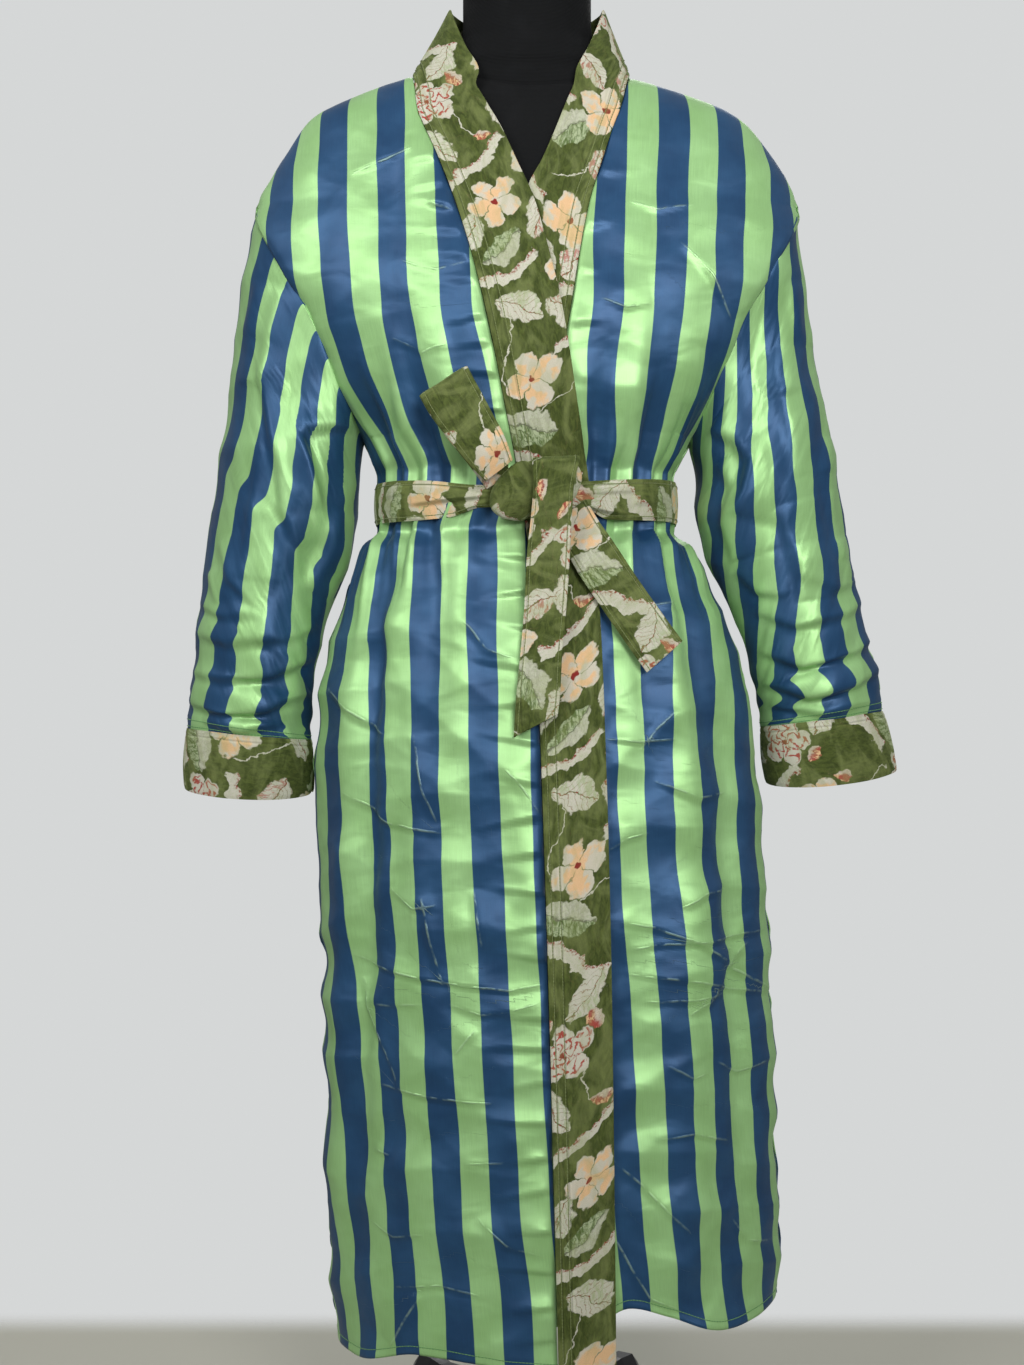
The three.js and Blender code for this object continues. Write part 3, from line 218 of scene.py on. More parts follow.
# Small puckers where the satin is sewn to a band: height along the seam, length, depth.
OVER_PUCKERS = [(1262, 20, .8), (1236, 26, .7), (1214, 22, .9), (1188, 30, .7), (1163, 24, .8),
                (1140, 32, .6), (1104, 26, .8), (1080, 22, .6), (1052, 24, .7), (1018, 20, .7),
                (880, 22, .8), (846, 28, .9), (812, 24, .7), (775, 34, .9), (741, 26, .8),
                (706, 30, 1.), (668, 24, .7), (633, 36, .9), (601, 26, .8), (566, 30, 1.),
                (533, 22, .8), (505, 28, .9), (449, 30, .8), (421, 34, 1.), (388, 24, .8),
                (352, 36, .9), (318, 26, 1.), (287, 32, .8), (251, 24, .9), (214, 34, .8),
                (180, 28, .9), (150, 22, .7)]
UNDER_PUCKERS = [(1250, 18, .5), (1196, 20, .6), (1150, 18, .5), (1100, 22, .6), (1046, 18, .5)]
OVER_SEED, UNDER_SEED, BACK_SEED = 0.3, 1.9, 4.1   # they set the phase of each panel's waves

# ---- small mathematics ----------------------------------------------------------------------
def mix(a, b, share):
    return a + (b - a) * share


def ease(value):
    share = np.clip(value, 0, 1)
    return share * share * (3 - 2 * share)


def bell(distance, width):
    return np.exp(-((distance / width) ** 2))


def curve(pairs):
    """A smooth curve through (place, value) pairs, held level past its ends."""
    at, values = np.array(sorted(pairs), float).T
    slopes = np.diff(values) / np.diff(at)
    before, after = np.r_[slopes[0], slopes], np.r_[slopes, slopes[-1]]
    product, total = before * after, before + after
    tangents = np.where(product > 0, 2 * product / np.where(total == 0, 1, total), 0)

    def value(place):
        place = np.clip(place, at[0], at[-1])
        i = np.clip(np.searchsorted(at, place, side="right") - 1, 0, len(at) - 2)
        span = at[i + 1] - at[i]
        t = (place - at[i]) / span
        start = values[i] * (1 + 2 * t) * (1 - t) ** 2 + tangents[i] * span * t * (1 - t) ** 2
        end = values[i + 1] * t * t * (3 - 2 * t) + tangents[i + 1] * span * t * t * (t - 1)
        return start + end
    return value


def column(table, index):
    return curve([(row[0], row[index]) for row in table])


def through(stations, count):
    """Evenly spaced rows of a smooth path through a list of stations, each a row of points."""
    stations = np.array(stations, float)
    flat = stations.reshape(len(stations), -1)
    step = np.linalg.norm(np.diff(flat, axis=0), axis=1)
    place = np.r_[0, np.cumsum(step)]
    slope = np.gradient(flat, place, axis=0)
    at = np.linspace(0, place[-1], count)
    i = np.clip(np.searchsorted(place, at, side="right") - 1, 0, len(place) - 2)
    span = (place[i + 1] - place[i])[:, None]
    t = (at - place[i])[:, None] / span
    result = (flat[i] * (1 + 2 * t) * (1 - t) ** 2 + slope[i] * span * t * (1 - t) ** 2
              + flat[i + 1] * t * t * (3 - 2 * t) + slope[i + 1] * span * t * t * (t - 1))
    return result.reshape((count,) + stations.shape[1:])


def normals_of(points, closed=False):
    """Outward normals of a grid whose columns crossed with its falling rows point outwards."""
    down = np.gradient(points, axis=0)
    if closed:
        wide = np.concatenate([points[:, -2:-1], points, points[:, 1:2]], axis=1)
        along = np.gradient(wide, axis=1)[:, 1:-1]
    else:
        along = np.gradient(points, axis=1)
    normal = np.cross(along, down)
    return normal / np.maximum(np.linalg.norm(normal, axis=2, keepdims=True), 1e-9)


def relief(creases, x, z, press=None):
    """Height of creases drawn as lines in x and z: cloth swells down to each and tucks in under it.

    press, where given, is filled with the signed distance to the nearest line and its strength.
    """
    height = np.zeros(np.shape(x))
    nearest = np.full(np.shape(x), 1e9)
    for line, depth, width in creases:
        points = sorted(line) if abs(line[-1][0] - line[0][0]) > abs(line[-1][1] - line[0][1]) else line
        near, side, along = np.full(np.shape(x), 1e9), np.zeros(np.shape(x)), np.zeros(np.shape(x))
        walked = 0.0
        for (x0, z0), (x1, z1) in zip(points, points[1:]):
            length = math.hypot(x1 - x0, z1 - z0)
            ahead = (x - x0) * (x1 - x0) + (z - z0) * (z1 - z0)
            share = np.clip(ahead / length ** 2, 0, 1)
            away = np.hypot(x - mix(x0, x1, share), z - mix(z0, z1, share))
            turned = np.sign((z - z0) * (x1 - x0) - (x - x0) * (z1 - z0))
            closer = away < near
            near = np.where(closer, away, near)
            side = np.where(closer, turned, side)
            along = np.where(closer, walked + share * length, along)
            walked += length
        fade = np.sqrt(np.clip(np.sin(np.pi * along / walked), 0, 1))
        swell = np.where(side > 0, np.exp(-near / (SWELL * width)), 1 - ease(near / (TUCK * width)))
        under_line = bell(near * side + width, UNDER_LINE_WIDTH * width)
        height += CREASE * depth * fade * (swell - UNDER_LINE * under_line)
        if press is not None:
            press[..., 0] = np.where(near < nearest, near * side, press[..., 0])
            press[..., 1] = np.where(near < nearest, depth * fade, press[..., 1])
            nearest = np.minimum(near, nearest)
    return height


# Waves of hanging cloth: direction of each in radians, its length and its height.
DRAPE_WAVES = [(0.35, 83, 0.9), (1.25, 61, 0.7), (2.2, 47, 0.55), (2.9, 34, 0.4)]


def drape(x, z, seed):
    """Low, slow unevenness of hanging cloth, from a few crossing waves."""
    height = 0
    for turn, reach, size in DRAPE_WAVES:
        wave = (x * math.cos(turn + seed) + 0.55 * z * math.sin(turn + seed)) / reach
        height = height + size * np.sin(2 * np.pi * wave + 1.7 * np.sin(z / 71 + turn * 5 + seed))
    return height


# Facets of pressed cloth: direction of each wave in degrees, its length and its height.
FACETS = [(82, 58, 1.0), (106, 79, 1.1), (128, 44, 0.6), (58, 51, 0.6), (92, 131, 1.5), (20, 93, 0.7)]


def facets(x, z, seed):
    """Sharp low ridges between flat facets, stronger in some places than in others."""
    height = 0
    for number, (turn, length, size) in enumerate(FACETS):
        a = math.radians(turn + 9 * math.sin(seed * 3 + number))
        bend = 9 * np.sin(x / 47 + seed * number) + 7 * np.sin(z / 61 + seed + 2 * number)
        wave = (x * math.cos(a) + z * math.sin(a) + bend) / length
        place = 0.55 + 0.45 * np.sin(x / 39 + number * 2.1 + seed) * np.sin(z / 53 + number * 1.3 - seed)
        height = height + size * place * (0.6 - np.abs(np.sin(np.pi * wave)))
    return height


# ---- the surface of the body ----------------------------------------------------------------
body = {name: column(BODY, i) for i, name in enumerate(("left", "right", "front", "back"), 1)}


def side_edge(x, z):
    return np.where(x < 0, body["left"](z), body["right"](z))


def half_width(x, face, z):
    middle, half = (ARMHOLE_TOP + ARMHOLE_FOOT) / 2, (ARMHOLE_TOP - ARMHOLE_FOOT) / 2
    share = np.clip((z - middle) / half, -1, 1)
    cut = ARMHOLE_DEPTH * np.sqrt(1 - share * share) / body[face](z)
    return side_edge(x, z) / (1 - cut ** ROUNDNESS) ** (1 / ROUNDNESS)


def depth_at(face, x, z):
    share = np.minimum(1, np.abs(x) / half_width(x, face, z))
    return body[face](z) * (1 - share ** ROUNDNESS) ** (1 / ROUNDNESS)


def fold_height(face, x, z, y):
    to_edge = np.where(z > ARMHOLE_FOOT, side_edge(x, np.minimum(z, ARMHOLE_TOP)) - np.abs(x), y)
    height = 0
    for x0, z0, x1, z1, high, wide in FRONT_FOLDS if face == "front" else BACK_FOLDS:
        along = (z - z0) / (z1 - z0)
        inside = (along > 0) & (along < 1)
        rise = np.where(inside, np.sin(np.pi * np.clip(along, 0, 1) ** 0.6), 0)
        height = height + high * rise * bell(x - mix(x0, x1, along), wide)
    return height * ease(to_edge / EDGE_FADE)


def body_point(face, x, z, lift=0.0):
    y = depth_at(face, x, z)
    grow = 1 + (lift + fold_height(face, x, z, y)) / np.hypot(x, y)
    return np.stack([x * grow, (-y if face == "front" else y) * grow, z + 0 * x], axis=-1)


def over_lift(x):
    return OVER_LIFT * ease((x - OVER_START) / OVER_WIDTH)


def turn_of(face, x, z):
    share = np.minimum(1, np.abs(x) / half_width(x, face, z))
    turn = np.arccos(share ** (ROUNDNESS / 2))
    return np.where(x < 0, turn, np.pi - turn)


def x_of_turn(face, turn, z):
    sign = np.where(turn < np.pi / 2, -1.0, 1.0)
    return sign * half_width(sign, face, z) * np.abs(np.cos(turn)) ** (2 / ROUNDNESS)


def column_x(face, edges, share, z):
    start, end = edges[0](z), edges[1](z)
    straight = mix(start, end, share)
    turn = mix(turn_of(face, start, z), turn_of(face, end, z), share)
    blend = ease((ARMHOLE_TOP - z) / ROUNDING)
    return mix(straight, x_of_turn(face, turn, z), blend)


def column_top(face, edges, share):
    low, high = np.full(share.shape, float(ARMHOLE_TOP)), np.full(share.shape, float(NECK_SIDE))
    for _ in range(36):
        z = (low + high) / 2
        x = column_x(face, edges, share, z)
        outside = np.abs(x) > side_edge(x, z)
        low, high = np.where(outside, low, z), np.where(outside, z, high)
    x = column_x(face, edges, share, low)
    inside = 1 - (x / side_edge(x, NECK_SIDE)) ** 2
    if face == "back":
        low = np.where(inside > 0, NECK_SIDE + NECK_RISE * inside, low)
    return low


def arc_from_middle(face, x, z, steps=40):
    """Length along the level section from its middle to x, which is how cloth is measured."""
    middle = np.pi / 2
    share = np.linspace(0, 1, steps)
    turns = middle + (turn_of(face, x, z) - middle)[..., None] * share
    level = np.broadcast_to(z[..., None] if np.ndim(z) else z, turns.shape)
    across = x_of_turn(face, turns, level)
    deep = body[face](level) * np.abs(np.sin(turns)) ** (2 / ROUNDNESS)
    length = np.hypot(np.diff(across, axis=-1), np.diff(deep, axis=-1)).sum(axis=-1)
    return np.sign(x) * length


gather = curve(GATHER)


def stripes_at(face, x, z, reference):
    """Cloth coordinate in stripes: whole numbers are stripe edges, even ones start green."""
    start = np.asarray(reference(z), float)
    return gather(z) * (arc_from_middle(face, x, z) - arc_from_middle(face, start, z)) / STRIPE


edge_left = lambda z: np.where(z >= ARMHOLE_TOP, -SHOULDER_TIP, -body["left"](z))
edge_right = lambda z: np.where(z >= ARMHOLE_TOP, SHOULDER_TIP, body["right"](z))
over_seam, over_free = curve(OVER_SEAM), curve(OVER_FREE)
under_seam, under_free = curve(UNDER_SEAM), curve(UNDER_FREE)


def panel(face, edges, hem, counts, lift, stripe, creases, gathers, puckers, seed):
    """A panel from shoulder to hem: its points, its cloth coordinates, and its pressed lines."""
    columns, upper, lower = (int(count * COARSE) for count in counts)
    share = np.linspace(0, 1, columns + 1)
    top = column_top(face, edges, share)
    foot = curve(hem)(column_x(face, edges, share, np.full(share.shape, float(HEM_LEVEL))))
    even = np.linspace(0, 1, upper + 1)
    fall = mix(even, (1 - np.cos(np.pi * even)) / 2, 0.6)[:, None]
    high = mix(top[None, :], ARMHOLE_FOOT, fall)
    down = np.linspace(0, 1, lower + 1)[1:, None]
    z = np.concatenate([high, mix(ARMHOLE_FOOT, foot[None, :], down)])
    x = column_x(face, edges, share[None, :], z)
    points = body_point(face, x, z, lift(x))
    cloth = stripes_at(face, x, z, stripe)
    along = cloth * STRIPE
    press = np.zeros(points.shape[:2] + (2,))
    low = ease((ARMHOLE_FOOT + DRAPE_REACH - z) / DRAPE_FADE)
    height = relief(creases, x, z, press) + DRAPE * drape(x, z, seed) * low
    height += facets(x, z, seed) * mix(FACET_SKIRT, FACET_CHEST, ease((z - FACET_LEVEL) / FACET_FADE))
    start = arc_from_middle(face, np.asarray(stripe(WAIST)), np.asarray(WAIST)) * gather(WAIST)
    for place, high_by, above, below in gathers:
        reach = np.where(z > WAIST, above, below)
        across = bell(along + start - place * GATHER_SPACING, GATHER_WIDTH)
        height += GATHER_RISE * high_by * across * bell(z - WAIST, reach)
    seam_x = edges[0](z) if stripe is over_stripe else edges[1](z)
    from_seam = np.abs(x - seam_x)
    for place, reach, deep in puckers:
        bend = z - place - PUCKER_TILT * (from_seam - reach / 2) * math.sin(place)
        swell = np.where(bend > 0, np.exp(-bend / PUCKER_SWELL), 1 - ease(-bend / PUCKER_TUCK))
        reached = ease(from_seam / PUCKER_START) * bell(from_seam - reach / 3, reach)
        height += PUCKER * deep * swell * reached
    to_side = np.abs(np.abs(x) - side_edge(x, z))
    wave = np.sin(2 * np.pi * z / SIDE_WAVE_LENGTH + 1.9 * np.sin(z / 71 + seed) + seed)
    wave = wave * (0.6 + 0.4 * np.sin(z / 53 + seed)) * np.where(x < 0, 1, 0.5)
    skirt = ease((SIDE_WAVE_TOP - z) / SIDE_WAVE_FADE)
    height += SIDE_WAVE * wave * bell(to_side, SIDE_WAVE_WIDTH) * skirt
    if seed == UNDER_SEED:
        height *= ease((x - over_free(z)) / COVER_FADE)
    height *= ease(np.hypot(np.abs(x) - SHOULDER_TIP, z - ARMHOLE_TOP) / SHOULDER_CALM)
    to_edge = np.minimum(np.abs(x - edges[0](z)), np.abs(x - edges[1](z)))
    to_edge = np.minimum(to_edge, np.abs(z - top[None, :]))
    height -= SEAM_ROLL * bell(to_edge, SEAM_ROLL_WIDTH)
    height -= HEM_GROOVE * bell(z - foot[None, :] - HEM, HEM_GROOVE_WIDTH)
    points = points + normals_of(points) * height[..., None]
    cloth = cloth + STRIPE_WANDER * drape(x * 0.8, z * 0.8, seed + 1)
    slip = SIDE_SLIP * (1 if face == "front" else BACK_SLIP)
    cloth = cloth + slip * wave * bell(to_side, SIDE_SLIP_WIDTH) * skirt
    uv = np.stack([cloth, (1400 - z) / STRIPE], axis=-1)
    return points, uv, press


# ---- making meshes --------------------------------------------------------------------------
def grid_object(name, points, uv, material, thickness, closed=False, rim=0.0, press=None):
    """A sheet from a grid of points, given a wall inside it. A closed grid joins its two sides."""
    rows, columns = points.shape[:2]
    bm = bmesh.new()
    bmesh.ops.create_grid(bm, x_segments=columns - 1, y_segments=rows - 1, size=1)
    bm.verts.index_update()
    flat = np.array([vert.co[:2] for vert in bm.verts])
    across = np.rint((flat[:, 0] + 1) / 2 * (columns - 1)).astype(int)
    down = np.rint((1 - flat[:, 1]) / 2 * (rows - 1)).astype(int)
    places, cloth = points[down, across] * MM, uv[down, across]
    layer = bm.loops.layers.uv.new("cloth")
    pressed = None if press is None else press[down, across].tolist()
    press_layer = None if press is None else bm.loops.layers.uv.new("press")
    for vert, place in zip(bm.verts, places.tolist()):
        vert.co = place
    cloth = cloth.tolist()
    for face in bm.faces:
        face.smooth = True
        for loop in face.loops:
            loop[layer].uv = cloth[loop.vert.index]
            if pressed:
                loop[press_layer].uv = pressed[loop.vert.index]
    bmesh.ops.reverse_faces(bm, faces=bm.faces)
    if closed:
        bmesh.ops.remove_doubles(bm, verts=bm.verts, dist=0.02 * MM)
    mesh = bpy.data.meshes.new(name)
    bm.to_mesh(mesh)
    bm.free()
    piece = bpy.data.objects.new(name, mesh)
    bpy.context.scene.collection.objects.link(piece)
    mesh.materials.append(material)
    if thickness:
        wall = piece.modifiers.new("wall", "SOLIDIFY")
        wall.thickness = thickness * MM
        wall.offset = -1
    if rim:
        edge = piece.modifiers.new("rim", "BEVEL")
        edge.width = rim * MM
        edge.segments = 2
        edge.limit_method = "ANGLE"
        edge.angle_limit = math.radians(50)
    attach(piece, "root")
    return piece


def measure(points):
    """Distances along and across a grid, in millimetres, for the cloth coordinates."""
    along = np.linalg.norm(np.diff(points, axis=0), axis=2)
    across = np.linalg.norm(np.diff(points, axis=1), axis=2)
    down = np.concatenate([np.zeros((1, points.shape[1])), np.cumsum(along, axis=0)])
    over = np.concatenate([np.zeros((points.shape[0], 1)), np.cumsum(across, axis=1)], axis=1)
    return over, down


STITCH = 3.2             # length of one stitch with its gap
THREAD = 0.42            # radius of the sewing thread


def thread(name, path, normal, material):
    """A row of stitches: one thread that dips into the cloth between them."""
    step = np.linalg.norm(np.diff(path, axis=0), axis=1)
    place = np.r_[0, np.cumsum(step)]
    count = max(8, int(place[-1] / STITCH * (4 if COARSE == 1 else 2)))
    at = np.linspace(0, place[-1], count)
    centre = np.stack([np.interp(at, place, path[:, i]) for i in range(3)], axis=1)
    up = np.stack([np.interp(at, place, normal[:, i]) for i in range(3)], axis=1)
    up /= np.linalg.norm(up, axis=1, keepdims=True)
    ahead = np.gradient(centre, axis=0)
    ahead /= np.maximum(np.linalg.norm(ahead, axis=1, keepdims=True), 1e-9)
    sideways = np.cross(ahead, up)
    dip = np.cos(2 * np.pi * at / STITCH)
    centre = centre + up * (THREAD * (0.1 + 0.9 * dip))[:, None]
    turn = np.linspace(0, 2 * np.pi, 7)
    ring = np.cos(turn)[None, :, None] * sideways[:, None] + np.sin(turn)[None, :, None] * up[:, None]
    points = centre[:, None] + THREAD * ring
    uv = np.stack(np.broadcast_arrays(turn[None, :], at[:, None]), axis=-1)
    return grid_object(name, points, uv, material, 0, closed=True)


def line_at(points, normal, share):
    place = share * (points.shape[1] - 1)
    i = int(min(place, points.shape[1] - 2))
    part = place - i
    return mix(points[:, i], points[:, i + 1], part), mix(normal[:, i], normal[:, i + 1], part)


def line_across(points, share):
    """The line of a grid that lies at a share of its width, with the normals there."""
    return line_at(points, normals_of(points), share)


def line_down(points, share):
    """The line of a grid that lies at a share of its height, with the normals there."""
    return line_at(points.transpose(1, 0, 2), normals_of(points).transpose(1, 0, 2), share)


# ---- materials ------------------------------------------------------------------------------
def wire(tree, kind, inputs=None, **settings):
    """Adds one node, sets it and links or fills its inputs."""
    node = tree.nodes.new(kind)
    for key, value in settings.items():
        setattr(node, key, value)
    for key, value in (inputs or {}).items():
        socket = node.inputs[key]
        if isinstance(value, bpy.types.NodeSocket):
            tree.links.new(value, socket)
        else:
            socket.default_value = value
    return node


def calc(tree, operation, *values, clamp=False):
    node = wire(tree, "ShaderNodeMath", dict(enumerate(values)), operation=operation, use_clamp=clamp)
    return node.outputs[0]


def vector(tree, operation, *values):
    return wire(tree, "ShaderNodeVectorMath", dict(enumerate(values)), operation=operation).outputs[0]


def step_between(tree, value, low, high, start=0.0, end=1.0):
    node = wire(tree, "ShaderNodeMapRange", {"Value": value, "From Min": low, "From Max": high,
                                             "To Min": start, "To Max": end},
                interpolation_type="SMOOTHSTEP")
    return node.outputs["Result"]


def blend(tree, share, first, second, how="MIX"):
    node = wire(tree, "ShaderNodeMix", data_type="RGBA", blend_type=how)
    for socket, value in ((node.inputs[0], share), (node.inputs[6], first), (node.inputs[7], second)):
        if isinstance(value, bpy.types.NodeSocket):
            tree.links.new(value, socket)
        else:
            socket.default_value = value
    return node.outputs[2]


def noise(tree, place, scale, detail=2.0, rough=0.5, warp=0.0):
    node = wire(tree, "ShaderNodeTexNoise", {"Vector": place, "Scale": scale, "Detail": detail,
                                             "Roughness": rough, "Distortion": warp})
    return node.outputs[0]


def shaded(tree, colour, shade):
    """A colour made darker or lighter by a number near one."""
    tint = wire(tree, "ShaderNodeCombineColor", {0: shade, 1: shade, 2: shade}).outputs[0]
    return blend(tree, 1.0, colour, tint, "MULTIPLY")


def emboss(tree, shader, height, strength, reach):
    """Raises a surface's fine texture, reach being its height in millimetres."""
    bump = wire(tree, "ShaderNodeBump", {"Height": height, "Strength": strength, "Distance": reach * MM})
    tree.links.new(bump.outputs[0], shader.inputs["Normal"])


def set_finish(shader, finish):
    for socket, value in finish.items():
        shader.inputs[socket].default_value = value


def srgb(red, green, blue):
    line = [(v / 255 / 12.92) if v / 255 <= 0.04045 else ((v / 255 + 0.055) / 1.055) ** 2.4
            for v in (red, green, blue)]
    return (*line, 1.0)


def new_material(name):
    material = bpy.data.materials.new(name)
    material.use_nodes = True
    tree = material.node_tree
    return material, tree, tree.nodes["Principled BSDF"]


GREEN, GREEN_DEEP = srgb(156, 200, 136), srgb(147, 191, 125)
BLUE, BLUE_DEEP = srgb(38, 78, 116), srgb(29, 66, 103)
PAINTED_CREASE_HIGHLIGHT = srgb(196, 226, 190)     # painted highlight along a pressed crease's ridge
# The last of these olives is the painted sheen that pales the velvet's pile in streaks.
OLIVE, OLIVE_DARK, OLIVE_PAINTED_SHEEN = srgb(80, 91, 42), srgb(53, 63, 26), srgb(134, 144, 86)
CREAM, PEACH, ROSE = srgb(190, 187, 172), srgb(214, 176, 134), srgb(156, 70, 62)
DARK_RED, SAGE, SAGE_DARK = srgb(128, 40, 36), srgb(160, 172, 136), srgb(88, 106, 60)
KNIT, KNIT_PALE, KNIT_DUST = srgb(5, 6, 7), srgb(14, 15, 17), srgb(22, 23, 25)
STEEL, STEEL_WORN = srgb(20, 20, 22), srgb(58, 57, 56)
OLIVE_THREAD, GREEN_THREAD, FLOOR = srgb(114, 126, 66), srgb(96, 150, 84), srgb(176, 174, 162)

SATIN_FINISH = {"Sheen Weight": 0.06, "Sheen Roughness": 0.35, "Anisotropic": 0.6, "Metallic": 0.38,
                "Specular IOR Level": 0.42}
SATIN_ROUGH = 0.36
THREADS = (44.0, 1.1, 1.0)          # warp threads to a stripe, and how short their slubs are
WEFT_THREADS = (1.4, 58.0, 1.0)
STRIPE_SOFTNESS = 0.015             # half-width of the blend at a stripe's edge
# The first is how strongly the painted crease highlight is mixed into the colour, the second how far the
# crease line rises in the bump.
PAINTED_HIGHLIGHT_SHARE, PRESSED_RISE = 0.3, 0.5
VELVET_FINISH = {"Sheen Weight": 0.34, "Sheen Roughness": 0.4, "Sheen Tint": srgb(190, 205, 140),
                 "Specular IOR Level": 0.2}
THREAD_FINISH = {"Roughness": 0.6, "Sheen Weight": 0.2}
KNIT_FINISH = {"Sheen Weight": 0.02, "Specular IOR Level": 0.15}
KNIT_RIB = 1.3                      # height of one rib of the form's cover


def striped_satin():
    material, tree, shader = new_material("striped_satin")
    uv = wire(tree, "ShaderNodeUVMap", uv_map="cloth").outputs[0]
    across = wire(tree, "ShaderNodeSeparateXYZ", {0: uv}).outputs[0]
    swing = calc(tree, "PINGPONG", calc(tree, "ADD", across, 0.5), 1.0)
    is_green = step_between(tree, swing, 0.5 - STRIPE_SOFTNESS, 0.5 + STRIPE_SOFTNESS)
    slub = noise(tree, vector(tree, "MULTIPLY", uv, THREADS), 1.0, 3.0, 0.6)
    weft = noise(tree, vector(tree, "MULTIPLY", uv, WEFT_THREADS), 1.0, 2.0, 0.6)
    cloud = noise(tree, uv, 0.55, 3.0, 0.55)
    dyed = step_between(tree, cloud, 0.3, 0.7)
    colour = blend(tree, is_green, blend(tree, dyed, BLUE_DEEP, BLUE), blend(tree, dyed, GREEN_DEEP, GREEN))
    colour = shaded(tree, colour, step_between(tree, slub, 0.25, 0.75, 0.93, 1.05))
    # Painted highlight: a pale, broken line along each pressed crease, where its ridge would catch the
    # light. The same line also rises in the bump.
    press_map = wire(tree, "ShaderNodeUVMap", uv_map="press").outputs[0]
    pressed = wire(tree, "ShaderNodeSeparateXYZ", {0: press_map})
    wander = calc(tree, "MULTIPLY", calc(tree, "SUBTRACT", cloud, 0.5), 5.0)
    from_line = calc(tree, "ABSOLUTE", calc(tree, "ADD", pressed.outputs[0], wander))
    broken = step_between(tree, noise(tree, uv, 2.1, 2.0, 0.6), 0.36, 0.62)
    line = calc(tree, "MULTIPLY", calc(tree, "MULTIPLY", step_between(tree, from_line, 1.5, 0.3), broken),
                calc(tree, "MULTIPLY", pressed.outputs[1], 1.0, clamp=True))
    colour = blend(tree, calc(tree, "MULTIPLY", line, PAINTED_HIGHLIGHT_SHARE), colour, PAINTED_CREASE_HIGHLIGHT)
    tree.links.new(colour, shader.inputs["Base Color"])
    gloss = calc(tree, "ADD", calc(tree, "MULTIPLY", slub, 0.10), calc(tree, "MULTIPLY", cloud, 0.10))
    tree.links.new(calc(tree, "ADD", gloss, SATIN_ROUGH), shader.inputs["Roughness"])
    crumple = noise(tree, vector(tree, "MULTIPLY", uv, (0.8, 1.3, 1.0)), 0.8, 1.5, 0.4, 0.5)
    fine = calc(tree, "ADD", calc(tree, "MULTIPLY", slub, 0.05), calc(tree, "MULTIPLY", weft, 0.04))
    rise = calc(tree, "ADD", calc(tree, "MULTIPLY", crumple, 1.6),
                calc(tree, "MULTIPLY", line, PRESSED_RISE))
    emboss(tree, shader, calc(tree, "ADD", rise, fine), 1.0, 1.1)
    set_finish(shader, SATIN_FINISH)
    tangent = wire(tree, "ShaderNodeTangent", direction_type="UV_MAP", uv_map="cloth")
    tree.links.new(tangent.outputs[0], shader.inputs["Tangent"])
    return material


# ---- the printed velvet -----------------------------------------------------------------------
def new_group(name, inputs, outputs):
    tree = bpy.data.node_groups.new(name, "ShaderNodeTree")
    for label, kind in inputs:
        tree.interface.new_socket(label, in_out="INPUT", socket_type="NodeSocket" + kind)
    for label, kind in outputs:
        tree.interface.new_socket(label, in_out="OUTPUT", socket_type="NodeSocket" + kind)
    return tree, tree.nodes.new("NodeGroupInput"), tree.nodes.new("NodeGroupOutput")


def leaf_group():
    """A pointed leaf along Y: its mask, its veins and which half is shaded."""
    tree, given, made = new_group("leaf", [("Place", "Vector"), ("Length", "Float"), ("Width", "Float"),
                                           ("Bend", "Float")],
                                  [("Mask", "Float"), ("Vein", "Float"), ("Half", "Float")])
    place = wire(tree, "ShaderNodeSeparateXYZ", {0: given.outputs["Place"]})
    share = calc(tree, "DIVIDE", place.outputs[1], given.outputs["Length"])
    far = calc(tree, "ADD", share, 0.5, clamp=True)
    hump = calc(tree, "MULTIPLY", calc(tree, "MULTIPLY", far, calc(tree, "SUBTRACT", 1.0, far)), 4.0)
    lean = calc(tree, "MULTIPLY", given.outputs["Bend"], hump)
    x = calc(tree, "SUBTRACT", place.outputs[0], lean)
    belly = calc(tree, "POWER", calc(tree, "MAXIMUM", hump, 0.0001), 0.75)
    half = calc(tree, "MULTIPLY", calc(tree, "MULTIPLY", given.outputs["Width"], 0.5), belly)
    inside = calc(tree, "SUBTRACT", half, calc(tree, "ABSOLUTE", x))
    tree.links.new(step_between(tree, inside, -0.4, 1.3), made.inputs["Mask"])
    middle = step_between(tree, calc(tree, "ABSOLUTE", x), 0.9, 0.3)
    slant = calc(tree, "ADD", calc(tree, "MULTIPLY", share, 7.0),
                 calc(tree, "MULTIPLY", calc(tree, "ABSOLUTE", x), -0.16))
    from_rib = calc(tree, "ABSOLUTE", calc(tree, "SUBTRACT", calc(tree, "FRACT", slant), 0.5))
    rib = step_between(tree, from_rib, 0.09, 0.03)
    tree.links.new(calc(tree, "MAXIMUM", middle, calc(tree, "MULTIPLY", rib, 0.6)), made.inputs["Vein"])
    tree.links.new(step_between(tree, x, -2.0, 3.0), made.inputs["Half"])
    return tree


